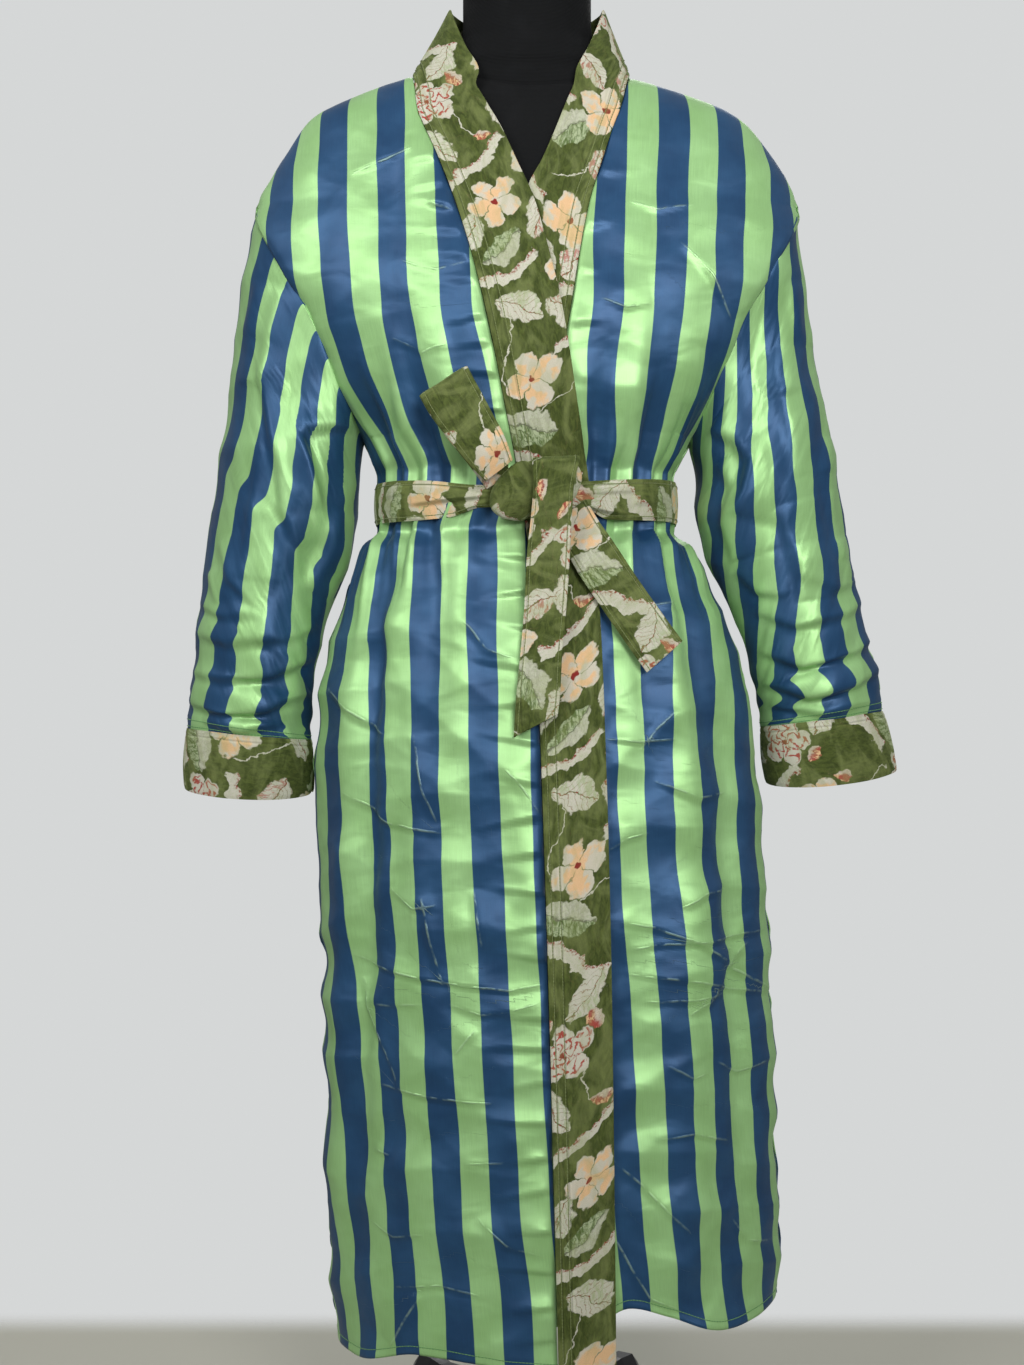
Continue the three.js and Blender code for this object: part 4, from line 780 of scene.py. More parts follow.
def flower_group():
    """An open flower: its mask, edge, eye, the lines between its petals and its brush strokes."""
    masks = [(label, "Float") for label in ("Mask", "Edge", "Eye", "Line", "Stroke")]
    tree, given, made = new_group("flower", [("Place", "Vector"), ("Radius", "Float"), ("Petals", "Float")],
                                  masks)
    place = wire(tree, "ShaderNodeSeparateXYZ", {0: given.outputs["Place"]})
    x, y = place.outputs[0], place.outputs[1]
    away = calc(tree, "SQRT", calc(tree, "ADD", calc(tree, "MULTIPLY", x, x), calc(tree, "MULTIPLY", y, y)))
    turn = calc(tree, "ARCTAN2", y, x)
    half_petals = calc(tree, "MULTIPLY", given.outputs["Petals"], 0.5)
    lobe = calc(tree, "ABSOLUTE", calc(tree, "COSINE", calc(tree, "MULTIPLY", turn, half_petals)))
    full = calc(tree, "POWER", lobe, 0.45)
    uneven = calc(tree, "MULTIPLY", calc(tree, "SINE", calc(tree, "ADD", turn, 0.8)), 0.07)
    reach = calc(tree, "MULTIPLY", given.outputs["Radius"],
                 calc(tree, "ADD", calc(tree, "MULTIPLY_ADD", full, 0.56, 0.44), uneven))
    inside = calc(tree, "SUBTRACT", reach, away)
    tree.links.new(step_between(tree, inside, -0.4, 1.4), made.inputs["Mask"])
    tree.links.new(step_between(tree, inside, 7.0, 1.0), made.inputs["Edge"])
    tree.links.new(step_between(tree, away, 3.6, 2.4), made.inputs["Eye"])
    curl = calc(tree, "ADD", calc(tree, "MULTIPLY", turn, 7.0),
                calc(tree, "MULTIPLY", calc(tree, "SINE", calc(tree, "MULTIPLY", away, 0.55)), 2.4))
    tree.links.new(calc(tree, "MULTIPLY", step_between(tree, calc(tree, "SINE", curl), 0.1, 0.75),
                        step_between(tree, inside, 1.0, 4.0)), made.inputs["Stroke"])
    gap = calc(tree, "MULTIPLY", lobe, away)
    tree.links.new(calc(tree, "MULTIPLY", step_between(tree, gap, 1.6, 0.5),
                        step_between(tree, away, 3.0, 7.0)), made.inputs["Line"])
    return tree


def branch_group():
    """A crooked strip along X: its mask and the red shading on its lower edge."""
    tree, given, made = new_group("branch", [("Place", "Vector"), ("Length", "Float"), ("Half", "Float")],
                                  [("Mask", "Float"), ("Under", "Float")])
    place = wire(tree, "ShaderNodeSeparateXYZ", {0: given.outputs["Place"]})
    x = place.outputs[0]
    sway = calc(tree, "MULTIPLY", calc(tree, "SINE", calc(tree, "MULTIPLY", x, 0.11)), 2.6)
    knobs = calc(tree, "MULTIPLY", calc(tree, "SINE", calc(tree, "MULTIPLY", x, 0.43)), 0.16)
    y = calc(tree, "SUBTRACT", place.outputs[1], sway)
    half = calc(tree, "MULTIPLY", given.outputs["Half"], calc(tree, "ADD", knobs, 1.0))
    inside = calc(tree, "SUBTRACT", half, calc(tree, "ABSOLUTE", y))
    ends = calc(tree, "SUBTRACT", calc(tree, "MULTIPLY", given.outputs["Length"], 0.5),
                calc(tree, "ABSOLUTE", x))
    mask = calc(tree, "MULTIPLY", step_between(tree, inside, -0.1, 0.6), step_between(tree, ends, 0.0, 2.0))
    tree.links.new(mask, made.inputs["Mask"])
    low = calc(tree, "DIVIDE", y, given.outputs["Half"])
    tree.links.new(step_between(tree, low, -0.25, -0.75), made.inputs["Under"])
    return tree


# The layout of one repeat of the print, in millimetres: kind, x, y, turn in degrees, and sizes.
REPEAT = (140.0, 470.0)
WARM_FROM = 3 / 7                   # leaves past this share of the repeat's width blush instead of paling
MOTIFS = [
    ("stem", 24, 80, 72, 66, 0.9), ("stem", 44, 312, -66, 58, 0.8), ("stem", 112, 202, 58, 64, 0.9),
    ("stem", 104, 450, -32, 60, 0.8), ("stem", 60, 140, 20, 48, 0.8),
    ("branch", 30, 12, 12, 88, 5.6), ("branch", 38, 198, -42, 84, 6.4), ("branch", 34, 366, 24, 92, 5.4),
    ("branch", 106, 104, -16, 78, 6.0), ("branch", 110, 298, 44, 86, 5.4),
    ("sage", 28, 158, 68, 62, 35, 4), ("sage", 40, 452, -62, 46, 27, 3), ("sage", 122, 412, 30, 56, 31, 4),
    ("leaf", 42, 46, 58, 52, 29, 3), ("leaf", 46, 232, -48, 50, 28, 4), ("leaf", 17, 330, 24, 48, 26, -3),
    ("leaf", 14, 428, -32, 44, 24, 3), ("leaf", 84, 68, 34, 50, 28, 4), ("leaf", 124, 72, -42, 46, 26, -3),
    ("leaf", 84, 322, 10, 50, 28, 3), ("leaf", 126, 340, -62, 44, 25, -3),
    ("leaf", 80, 436, -20, 46, 26, 3),
    ("flower", 42, 112, 12, 28, 4), ("flower", 46, 404, 40, 26, 5), ("flower", 100, 28, -14, 28, 4),
    ("flower", 98, 254, 30, 26, 5), ("flower", 100, 374, 8, 28, 4),
    ("rose", 24, 278, 20, 28, 5), ("rose", 112, 148, 50, 26, 5),
    ("bud", 54, 258, 24, 24, 15, 0), ("bud", 8, 250, -40, 20, 11, 0), ("bud", 124, 228, 14, 20, 12, 0),
    ("bud", 60, 336, 70, 20, 12, 0),
]


WARP_SLOW, WARP_FINE = (16.0, 16.0, 0.0), (2.0, 2.0, 0.0)   # how far the print bends, in millimetres


def motif_paint(tree, kind, parts, warm, inks):
    """The colour of one motif, from its own masks and the inks of the whole print."""
    cream, sage, petal, dabs, dirt = inks
    if kind == "branch":
        return blend(tree, calc(tree, "MULTIPLY", parts["Under"], dirt), cream, DARK_RED)
    if kind == "leaf":
        veined = blend(tree, parts["Vein"], cream, blend(tree, dirt, SAGE_DARK, DARK_RED))
        half = calc(tree, "MULTIPLY", parts["Half"], step_between(tree, dabs, 0.46, 0.6))
        return blend(tree, calc(tree, "MULTIPLY", half, 0.7), veined, ROSE if warm else SAGE)
    if kind == "sage":
        veined = blend(tree, parts["Vein"], sage, OLIVE_DARK)
        return blend(tree, calc(tree, "MULTIPLY", parts["Half"], 0.65), veined, cream)
    if kind == "bud":
        paint = blend(tree, step_between(tree, dabs, 0.42, 0.52), PEACH, ROSE)
        paint = blend(tree, calc(tree, "MULTIPLY", parts["Half"], 0.8), paint, CREAM)
        return blend(tree, calc(tree, "MULTIPLY", parts["Vein"], dirt), paint, DARK_RED)
    if kind == "flower":
        pale_edge = calc(tree, "MULTIPLY", parts["Edge"], step_between(tree, dabs, 0.34, 0.6, 0.2, 0.95))
        paint = blend(tree, pale_edge, petal, CREAM)
        paint = blend(tree, calc(tree, "MULTIPLY", parts["Line"], 0.7), paint, SAGE_DARK)
        return blend(tree, parts["Eye"], paint, DARK_RED)
    if kind == "rose":
        wash = calc(tree, "MULTIPLY", parts["Stroke"], step_between(tree, dabs, 0.36, 0.5))
        paint = blend(tree, wash, CREAM, ROSE)
        paint = blend(tree, calc(tree, "MULTIPLY", parts["Line"], dirt), paint, DARK_RED)
        return blend(tree, parts["Eye"], paint, DARK_RED)
    return cream


def print_group():
    """The whole print: its colour at a place in millimetres."""
    tree, given, made = new_group("floral_print", [("Place", "Vector")], [("Color", "Color")])
    leaf = leaf_group(), ("Length", "Width", "Bend")
    flower = flower_group(), ("Radius", "Petals")
    branch = branch_group(), ("Length", "Half")
    shapes = {"stem": branch, "branch": branch, "flower": flower, "rose": flower,
              "leaf": leaf, "sage": leaf, "bud": leaf}
    place = given.outputs["Place"]
    warped = place
    for scale, reach in ((0.07, WARP_SLOW), (0.75, WARP_FINE)):
        drift = wire(tree, "ShaderNodeTexNoise", {"Vector": place, "Scale": scale, "Detail": 2.0,
                                                  "Roughness": 0.6}).outputs["Color"]
        centred = vector(tree, "SUBTRACT", drift, (0.5, 0.5, 0.5))
        warped = vector(tree, "ADD", warped, vector(tree, "MULTIPLY", centred, reach))
    dabs = noise(tree, vector(tree, "MULTIPLY", place, (0.26, 0.1, 1.0)), 1.0, 3.0, 0.65, 0.8)
    flecks = noise(tree, place, 0.42, 4.0, 0.75)
    patches = noise(tree, place, 0.06, 2.0)
    colour = blend(tree, step_between(tree, dabs, 0.3, 0.75), OLIVE_DARK, OLIVE)
    cream = blend(tree, step_between(tree, flecks, 0.5, 0.66, 0.0, 0.7), CREAM, SAGE)
    sage = blend(tree, step_between(tree, dabs, 0.4, 0.62), SAGE, SAGE_DARK)
    petal = blend(tree, step_between(tree, patches, 0.47, 0.56, 0.0, 0.9), PEACH, CREAM)
    inks = cream, sage, petal, dabs, step_between(tree, flecks, 0.45, 0.56)
    half_repeat = [size / 2 for size in REPEAT] + [1.0]
    for kind, x, y, turn, *sizes in MOTIFS:
        moved = vector(tree, "SUBTRACT", warped, (x, y, 0.0))
        wrapped = vector(tree, "WRAP", moved, half_repeat, [-size for size in half_repeat])
        spun = wire(tree, "ShaderNodeVectorRotate", {"Vector": wrapped, "Angle": math.radians(turn)},
                    rotation_type="Z_AXIS").outputs[0]
        shape, labels = shapes[kind]
        parts = wire(tree, "ShaderNodeGroup", node_tree=shape)
        tree.links.new(spun, parts.inputs["Place"])
        for label, size in zip(labels, sizes):
            parts.inputs[label].default_value = size
        paint = motif_paint(tree, kind, parts.outputs, x > REPEAT[0] * WARM_FROM, inks)
        colour = blend(tree, parts.outputs["Mask"], colour, paint)
    tree.links.new(colour, made.inputs["Color"])
    return tree


def velvet(name, artwork, shift, turn, axis=0, grooves=()):
    """Printed velvet, its print moved and turned for one piece, with painted sheen in random streaks,
    painted shade in its sewn grooves and a painted highlight beside them.
    """
    material, tree, shader = new_material(name)
    uv = wire(tree, "ShaderNodeUVMap", uv_map="cloth").outputs[0]
    placed = wire(tree, "ShaderNodeMapping", {"Vector": uv, "Location": (*shift, 0.0),
                                              "Rotation": (0.0, 0.0, math.radians(turn))}).outputs[0]
    art = wire(tree, "ShaderNodeGroup", {"Place": placed}, node_tree=artwork)
    brushed = noise(tree, vector(tree, "MULTIPLY", uv, (0.05, 0.022, 1.0)), 1.0, 3.0, 0.55, 1.2)
    pile = noise(tree, uv, 1.6, 3.0, 0.7)
    # Painted sheen: long random streaks of the pile are made paler, as if crushed velvet caught the light
    # there.
    painted_sheen_colour = blend(tree, step_between(tree, brushed, 0.4, 0.68, 0.0, 0.7), art.outputs["Color"],
                blend(tree, 0.5, art.outputs["Color"], OLIVE_PAINTED_SHEEN))
    shade = step_between(tree, pile, 0.3, 0.7, 0.82, 1.1)
    place = wire(tree, "ShaderNodeSeparateXYZ", {0: uv}).outputs[axis]
    for groove in grooves:
        away = calc(tree, "ABSOLUTE", calc(tree, "SUBTRACT", place, groove))
        # Painted highlight on the pile just beside each groove, then painted shade in the groove itself.
        shade = calc(tree, "MULTIPLY", shade, step_between(tree, away, 2.0, 3.4, 1.1, 1.0))
        shade = calc(tree, "MULTIPLY", shade, step_between(tree, away, 0.3, 1.4, 0.74, 1.0))
    tree.links.new(shaded(tree, painted_sheen_colour, shade), shader.inputs["Base Color"])
    sunk = calc(tree, "MULTIPLY", brushed, 1.4)
    emboss(tree, shader, calc(tree, "ADD", calc(tree, "MULTIPLY", pile, 0.35), sunk), 0.8, 1.0)
    tree.links.new(step_between(tree, brushed, 0.3, 0.7, 0.92, 0.72), shader.inputs["Roughness"])
    set_finish(shader, VELVET_FINISH)
    return material


def thread_material(name, colour):
    material, tree, shader = new_material(name)
    place = wire(tree, "ShaderNodeTexCoord").outputs["Object"]
    twist = noise(tree, place, 1800.0, 2.0, 0.6)
    dark = tuple(v * 0.6 for v in colour[:3]) + (1.0,)
    tree.links.new(blend(tree, step_between(tree, twist, 0.35, 0.65), dark, colour),
                   shader.inputs["Base Color"])
    emboss(tree, shader, twist, 0.6, 0.2)
    set_finish(shader, THREAD_FINISH)
    return material


def form_cloth():
    """Black knitted cover of the dress form, with fine level ribs."""
    material, tree, shader = new_material("form_black")
    place = wire(tree, "ShaderNodeTexCoord").outputs["Object"]
    up = wire(tree, "ShaderNodeSeparateXYZ", {0: place}).outputs[2]
    ribs = calc(tree, "SINE", calc(tree, "MULTIPLY", up, 2 * math.pi / (KNIT_RIB * MM)))
    lint = noise(tree, place, 260.0, 4.0, 0.75)
    dust = noise(tree, place, 30.0, 3.0, 0.6)
    colour = blend(tree, step_between(tree, lint, 0.35, 0.75), KNIT, KNIT_PALE)
    colour = blend(tree, step_between(tree, dust, 0.5, 0.8, 0.0, 0.35), colour, KNIT_DUST)
    tree.links.new(colour, shader.inputs["Base Color"])
    emboss(tree, shader, calc(tree, "ADD", calc(tree, "MULTIPLY", ribs, 0.7), lint), 0.7, 0.3)
    tree.links.new(step_between(tree, lint, 0.2, 0.8, 0.6, 0.85), shader.inputs["Roughness"])
    set_finish(shader, KNIT_FINISH)
    return material


def painted_steel():
    material, tree, shader = new_material("stand_steel")
    place = wire(tree, "ShaderNodeTexCoord").outputs["Object"]
    orange_peel = noise(tree, place, 700.0, 3.0, 0.5)
    wear = noise(tree, place, 55.0, 5.0, 0.7)
    colour = blend(tree, step_between(tree, wear, 0.55, 0.8), STEEL, STEEL_WORN)
    tree.links.new(colour, shader.inputs["Base Color"])
    tree.links.new(step_between(tree, wear, 0.35, 0.75, 0.32, 0.6), shader.inputs["Roughness"])
    emboss(tree, shader, orange_peel, 0.3, 0.25)
    shader.inputs["Metallic"].default_value = 0.2
    return material


satin = striped_satin()
artwork = print_group()
TOPSTITCH = (5.5, 14.5)  # rows of topstitching, from a band's seam
BELT_ROWS = (4.0, 37.5)  # rows of stitching along the belt's two edges
CUFF_ROW = 6.0           # the groove of the cuff's seam
velvet_over = velvet("velvet_band_over", artwork, (12.0, 40.0), 0, 0, TOPSTITCH)
velvet_under = velvet("velvet_band_under", artwork, (86.0, 130.0), 0, 0, TOPSTITCH)
velvet_cuff = velvet("velvet_cuff", artwork, (40.0, 15.0), 90, 1, (CUFF_ROW,))
velvet_belt = velvet("velvet_belt", artwork, (64.0, 92.0), 90, 1, BELT_ROWS)
velvet_tails = velvet("velvet_tails", artwork, (155.0, 178.0), 90, 1, BELT_ROWS)
velvet_loop = velvet("velvet_loop", artwork, (112.0, 52.0), 90, 1, BELT_ROWS)
velvet_knot = velvet("velvet_knot", artwork, (70.0, 108.0), 90)
velvet_thread = thread_material("velvet_thread", OLIVE_THREAD)
satin_thread = thread_material("satin_thread", GREEN_THREAD)
knit = form_cloth()
steel = painted_steel()

# ---- panels ---------------------------------------------------------------------------------
over_stripe, under_stripe = curve(OVER_STRIPE), curve(UNDER_STRIPE)
back_stripe = lambda z: -0.5 * STRIPE / gather(z)
level = lambda x: 0 * x

# Counts of a panel's grid: columns, rows above the armhole's foot, and rows below it.
FRONT_COUNTS, BACK_COUNTS = (98, 130, 340), (150, 96, 220)

over_points, over_uv, over_press = panel(
    "front", (over_seam, edge_left), OVER_HEM, FRONT_COUNTS, over_lift, over_stripe,
    OVER_CREASES, OVER_GATHERS, OVER_PUCKERS, OVER_SEED)
under_points, under_uv, under_press = panel(
    "front", (edge_right, under_seam), UNDER_HEM, FRONT_COUNTS, level, under_stripe,
    UNDER_CREASES, UNDER_GATHERS, UNDER_PUCKERS, UNDER_SEED)
back_points, back_uv, back_press = panel(
    "back", (edge_left, edge_right), BACK_HEM, BACK_COUNTS, level, back_stripe,
    BACK_CREASES, BACK_GATHERS, (), BACK_SEED)
front_over = grid_object("satin_front_over", over_points, over_uv, satin, SATIN, press=over_press)
front_under = grid_object("satin_front_under", under_points, under_uv, satin, SATIN, press=under_press)
back = grid_object("satin_back", back_points, back_uv, satin, SATIN, press=back_press)
for piece, node in ((front_over, "front_over"), (front_under, "front_under"), (back, "back")):
    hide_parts(node)

# ---- bands ----------------------------------------------------------------------------------
# x of the seam, then the free edge's x, y and z, on the standing collar.
COLLAR = [(0.5, 0.5, 68, 1426), (40, 36, 63, 1428), (76, 61, 44, 1431), (101, 75, 18, 1433)]
# Height of the seam, then the free edge's x, y and z, from the neck side to the chest.
COLLAR_FRONT = [(1364, 77, -6, 1431), (1353, 71, -27, 1412), (1340, 60, -46, 1384), (1326, 47, -62, 1356)]
COLLAR_END = 1320
BAND_RISE = [(1321, 31), (1270, 24), (1150, 16), (1005, 8), (980, 0)]
BAND_COLUMNS = 26
BAND_SEAM_GAP, BAND_BACK_GAP = 0.4, 0.6


def band_surface(sign, seam, free, hem, lift):
    """The band from the centre back round the neck and down its front: seam edge, then free edge."""
    share = np.linspace(0, 1, BAND_COLUMNS + 1)[:, None]
    across = lambda edge, end: mix(np.asarray(edge, float)[None, :], np.asarray(end, float)[None, :], share)
    rows = []
    for seam_x, *free_end in COLLAR:
        x = np.array(sign * seam_x)
        top = NECK_SIDE + NECK_RISE * (1 - (x / side_edge(x, NECK_SIDE)) ** 2)
        edge = body_point("back", x, np.array(top + BAND_BACK_GAP))
        rows.append(across(edge, (sign * free_end[0], *free_end[1:])))
    seam_at = lambda z: seam(z) - sign * BAND_SEAM_GAP
    for z, free_x, free_y, free_z in COLLAR_FRONT:
        x = np.array(seam_at(z))
        edge = body_point("front", x, np.array(float(z)), lift(x) + BAND_LIFT)
        rows.append(across(edge, (sign * free_x, free_y, free_z)))
    foot = float(curve(hem)(seam(HEM_LEVEL)))
    rise = curve(BAND_RISE)
    for z in np.r_[np.linspace(COLLAR_END - 8, 1000, 40), np.linspace(995, foot, 90)]:
        x = mix(seam_at(z), free(z + rise(z)), share[:, 0])
        height = mix(z, z + rise(z), share[:, 0])
        rows.append(body_point("front", x, height, lift(x) + BAND_LIFT))
    points = through(rows, int(420 * COARSE))
    over, down = measure(points)
    normal = normals_of(points) * (1 if sign > 0 else -1)
    height = 0.35 * np.sin(down / 23) * np.sin(over / 19) + 0.3 * np.sin(down / 57 + 2)
    for place in TOPSTITCH:
        height = height - 0.9 * bell(over - place, 1.2)
    height = height + 0.35 * bell(over - 10, 3) + 0.12 * np.sin(down / 2.1) * bell(over - 10, 5)
    width = over[:, -1:]
    height = height - 0.8 * bell(over, 2.2) - 0.5 * bell(width - over, 2.0)
    points = points + normal * height[..., None]
    uv = np.stack([over, down], axis=-1)
    return points, uv


def make_band(name, node, sign, seam, free, hem, lift, material):
    points, uv = band_surface(sign, seam, free, hem, lift)
    if sign < 0:
        points, uv = points[:, ::-1], uv[:, ::-1]
    piece = grid_object(name, points, uv, material, VELVET, rim=0.7)
    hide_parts(node)
    stitches = []
    width = float(np.mean(uv[:, :, 0].max(axis=1)))
    for number, place in enumerate(TOPSTITCH, 1):
        share = place / width if sign > 0 else 1 - place / width
        path, normal = line_across(points, share)
        stitches.append(thread(f"{name}_stitches_{number}", path, normal, velvet_thread))
    return piece, stitches


band_over, over_stitches = make_band("velvet_band_over", "band_over", -1, over_seam, over_free,
                                     OVER_HEM, over_lift, velvet_over)
band_under, under_stitches = make_band("velvet_band_under", "band_under", 1, under_seam, under_free,
                                       UNDER_HEM, level, velvet_under)

# ---- sleeves and cuffs ----------------------------------------------------------------------
# Height and x of the outer and inner edge of each sleeve, seen from the front.
SLEEVES = {
    "right": dict(
        sign=-1,
        outer=[(1230, -270), (1192, -279), (1142, -287), (1042, -299), (972, -309), (882, -322),
               (792, -333), (742, -339), (713, -341)],
        inner=[(1000, -164), (984, -167), (962, -168), (928, -169), (895, -174), (852, -192),
               (802, -204), (742, -216), (701, -216)],
        cuff=((-342, 656), (-217, 650)),
        stripe=[(1230, 96), (1142, 78), (1092, 70), (1042, 65), (1002, 60), (972, 44), (912, 40),
                (842, 33), (742, 19), (700, 16)]),
    "left": dict(
        sign=1,
        outer=[(1230, 270), (1192, 273), (1142, 279), (1042, 294), (972, 307), (882, 321),
               (842, 332), (792, 341), (752, 354), (730, 355)],
        inner=[(1000, 164), (984, 167), (962, 168), (928, 170), (893, 177), (852, 194), (802, 215),
               (742, 230), (714, 234)],
        cuff=((369, 674), (240, 660)),
        stripe=[(1230, 8), (1142, 15), (1092, 18), (1042, 20), (1002, 24), (972, 26), (912, 27),
                (842, 33), (742, 35), (700, 35)]),
}
SLEEVE_DEPTH = [(0, 75), (0.3, 80), (0.6, 68), (0.85, 54), (1, 47)]
SLEEVE_POINTING, SLEEVE_BACKSET, SLEEVE_HEAD = 0.22, 8, 0.18
TUCKED_IN = 3            # how far a sleeve reaches under the edge of the body
TUCK_EASE, TUCK_LEVEL, TUCK_FADE = 0.65, 1180, 50   # and the share by which it reaches less at the top
HEAD_LENGTH, MOUTH_LENGTH = 480, 470   # a sleeve's length, as its head's seam and its mouth's rows count it
SLEEVE_ROWS = (3.5, 9.5)               # rows of stitching, from the mouth
SLEEVE_DRAPE, SLEEVE_FACETS = 0.8, 1.7
BACK_SHIFT = (9, -16)                  # the creases lie elsewhere on the back of a sleeve
BUNCHES = [(0.8, 4, 0.03), (0.86, -4, 0.025), (0.905, 5, 0.025), (0.95, -4.5, 0.02), (0.98, 3, 0.015)]
DRAG_AT, DRAG_HEIGHT, DRAG_START, DRAG_DEPTH = 0.2, 0.22, 0.1, 14
CUFF_FRONT_DROP, CUFF_PROUD, CUFF_LAP, CUFF_DEPTH = 8, 1.4, 1.5, 47.0
SLEEVE_CREASES = {
    "right": [
        ([(-203, 930), (-212, 970), (-220, 996), (-216, 1006), (-192, 1011), (-172, 1009)], 4.6, 4.5),
        ([(-259, 1071), (-253, 1028), (-248, 1003), (-239, 961), (-238, 929), (-222, 890)], 2.8, 4.5),
        ([(-258, 990), (-266, 930), (-276, 862)], 1.6, 6),
        ([(-186, 930), (-196, 890), (-214, 850)], 2.2, 6),
        ([(-238, 1140), (-252, 1090), (-256, 1040)], 2.2, 8), ([(-262, 1150), (-276, 1100)], 1.6, 6),
        ([(-232, 1066), (-262, 1052), (-284, 1056)], 1.2, 3),
        ([(-330, 812), (-290, 800), (-240, 806), (-208, 818)], 2.4, 6),
        ([(-336, 772), (-296, 764), (-250, 770), (-214, 786)], 3.2, 6),
        ([(-338, 742), (-300, 732), (-258, 736), (-218, 752)], 3.6, 5.5),
        ([(-330, 842), (-296, 826), (-262, 830)], 1.6, 5),
        ([(-300, 900), (-286, 860), (-262, 836)], 1.8, 6), ([(-312, 870), (-300, 838)], 1.4, 5),
        ([(-320, 722), (-280, 714), (-240, 720)], 2.4, 4), ([(-250, 800), (-234, 770)], 1.4, 5),
    ],
    "left": [
        ([(180, 1010), (204, 996), (218, 976), (214, 948), (206, 924)], 4.5, 7),
        ([(186, 976), (202, 950), (196, 916), (206, 880)], 3.2, 7),
        ([(232, 1080), (252, 1020), (262, 960)], 2.2, 8), ([(256, 1150), (268, 1090)], 1.8, 6),
        ([(218, 1060), (240, 1040), (262, 1046)], 1.2, 3.2), ([(244, 930), (262, 880), (268, 840)], 2.2, 7),
        ([(286, 1000), (296, 930), (304, 880)], 1.6, 6), ([(206, 872), (226, 850), (256, 846)], 1.8, 5),
        ([(222, 832), (262, 818), (310, 828), (336, 842)], 2.4, 6),
        ([(228, 792), (270, 780), (318, 790), (346, 806)], 3.2, 6),
        ([(234, 760), (276, 750), (322, 760), (352, 774)], 3.4, 5),
        ([(240, 738), (290, 730), (340, 742)], 2.2, 4), ([(262, 868), (300, 852), (326, 862)], 1.6, 5),
        ([(300, 900), (316, 862)], 1.4, 5),
    ],
}


def ring_point(rise_end, low_end, turn, depth, share, bunch):
    middle, half = (rise_end + low_end) / 2, (rise_end - low_end) / 2
    pointed = np.abs(np.sin(turn)) ** (SLEEVE_POINTING * ease(share / 0.5))
    swell = bunch / np.linalg.norm(half, axis=-1)
    drag = np.where(np.sin(turn) > 0, DRAG_DEPTH * bell(share - DRAG_AT, DRAG_HEIGHT), 0)
    inward = 1 - np.abs(np.cos(turn))
    reach = depth * np.sin(turn) * pointed * (1 + swell) - drag * inward * ease(share / DRAG_START)
    point = middle + half * (np.cos(turn) * (1 + swell * 0.4))[..., None]
    point[..., 1] += SLEEVE_BACKSET * share - reach
    return point


def edge_points(sleeve, share):
    outer, inner = curve(sleeve["outer"]), curve(sleeve["inner"])
    outer_z = mix(ARMHOLE_TOP, sleeve["outer"][-1][0], share)
    inner_z = mix(ARMHOLE_FOOT, sleeve["inner"][-1][0], share)
    ends = [np.stack([edge(z), 0 * z, z], axis=-1) for edge, z in ((inner, inner_z), (outer, outer_z))]
    return ends[::-1] if sleeve["sign"] > 0 else ends


def sleeve_surface(name):
    sleeve = SLEEVES[name]
    sign = sleeve["sign"]
    rows, columns = int(190 * COARSE), int(112 * COARSE)
    share, turn = np.meshgrid(np.linspace(0, 1, rows + 1), np.linspace(0, 2 * np.pi, columns + 1),
                              indexing="ij")
    bunch = sum(high * bell(share - at, wide) for at, high, wide in BUNCHES) * 0.5
    ends = edge_points(sleeve, share)
    points = ring_point(ends[0], ends[1], turn, column(SLEEVE_DEPTH, 1)(share), share, bunch)
    middle, half = (ARMHOLE_TOP + ARMHOLE_FOOT) / 2, (ARMHOLE_TOP - ARMHOLE_FOOT) / 2
    z = middle + sign * half * np.cos(turn)
    tucked = TUCKED_IN * (1 - TUCK_EASE * ease((z - TUCK_LEVEL) / TUCK_FADE))
    edge = body["left" if sign < 0 else "right"](z) - tucked
    armhole = np.stack([sign * edge, -(ARMHOLE_DEPTH - 1) * np.sin(turn), z], axis=-1)
    points = mix(points, armhole, (1 - ease(share / SLEEVE_HEAD))[..., None])
    normal = normals_of(points, closed=True)
    x, z = points[..., 0], points[..., 2]
    facing = np.clip(-normal[..., 1] * 3, -1, 1)
    creases = SLEEVE_CREASES[name]
    shifted = [([(a + sign * BACK_SHIFT[0], b + BACK_SHIFT[1]) for a, b in line], deep, wide)
               for line, deep, wide in creases]
    height = np.where(facing > 0, relief(creases, x, z) * facing, -relief(shifted, x, z) * facing)
    height += SLEEVE_DRAPE * drape(x + points[..., 1] * 0.5, z, 2.7 * sign) * ease(share / 0.05)
    height += SLEEVE_FACETS * facets(x + points[..., 1] * 0.6, z, 1.4 + sign) * ease(share / 0.1)
    height -= SEAM_ROLL * bell(share * HEAD_LENGTH - TUCKED_IN, SEAM_ROLL_WIDTH)
    for gap in SLEEVE_ROWS:
        height -= 0.5 * bell((1 - share) * MOUTH_LENGTH - gap, 1.4)
    return points + normal * height[..., None], share, turn


def sleeve_cloth(name, points, share, turn):
    """Stripes run along the sleeve, counted from its outer edge and cut off at the underarm."""
    sleeve = SLEEVES[name]
    over, down = measure(points)
    if sleeve["sign"] < 0:
        arc = over[:, points.shape[1] // 2][:, None] - over
    else:
        arc = np.where(turn <= np.pi, over, over - over[:, -1:])
    level_z = mix(ARMHOLE_TOP, sleeve["outer"][-1][0], share)
    cloth = (arc - curve(sleeve["stripe"])(level_z)) / STRIPE
    return np.stack([cloth, down / STRIPE], axis=-1)


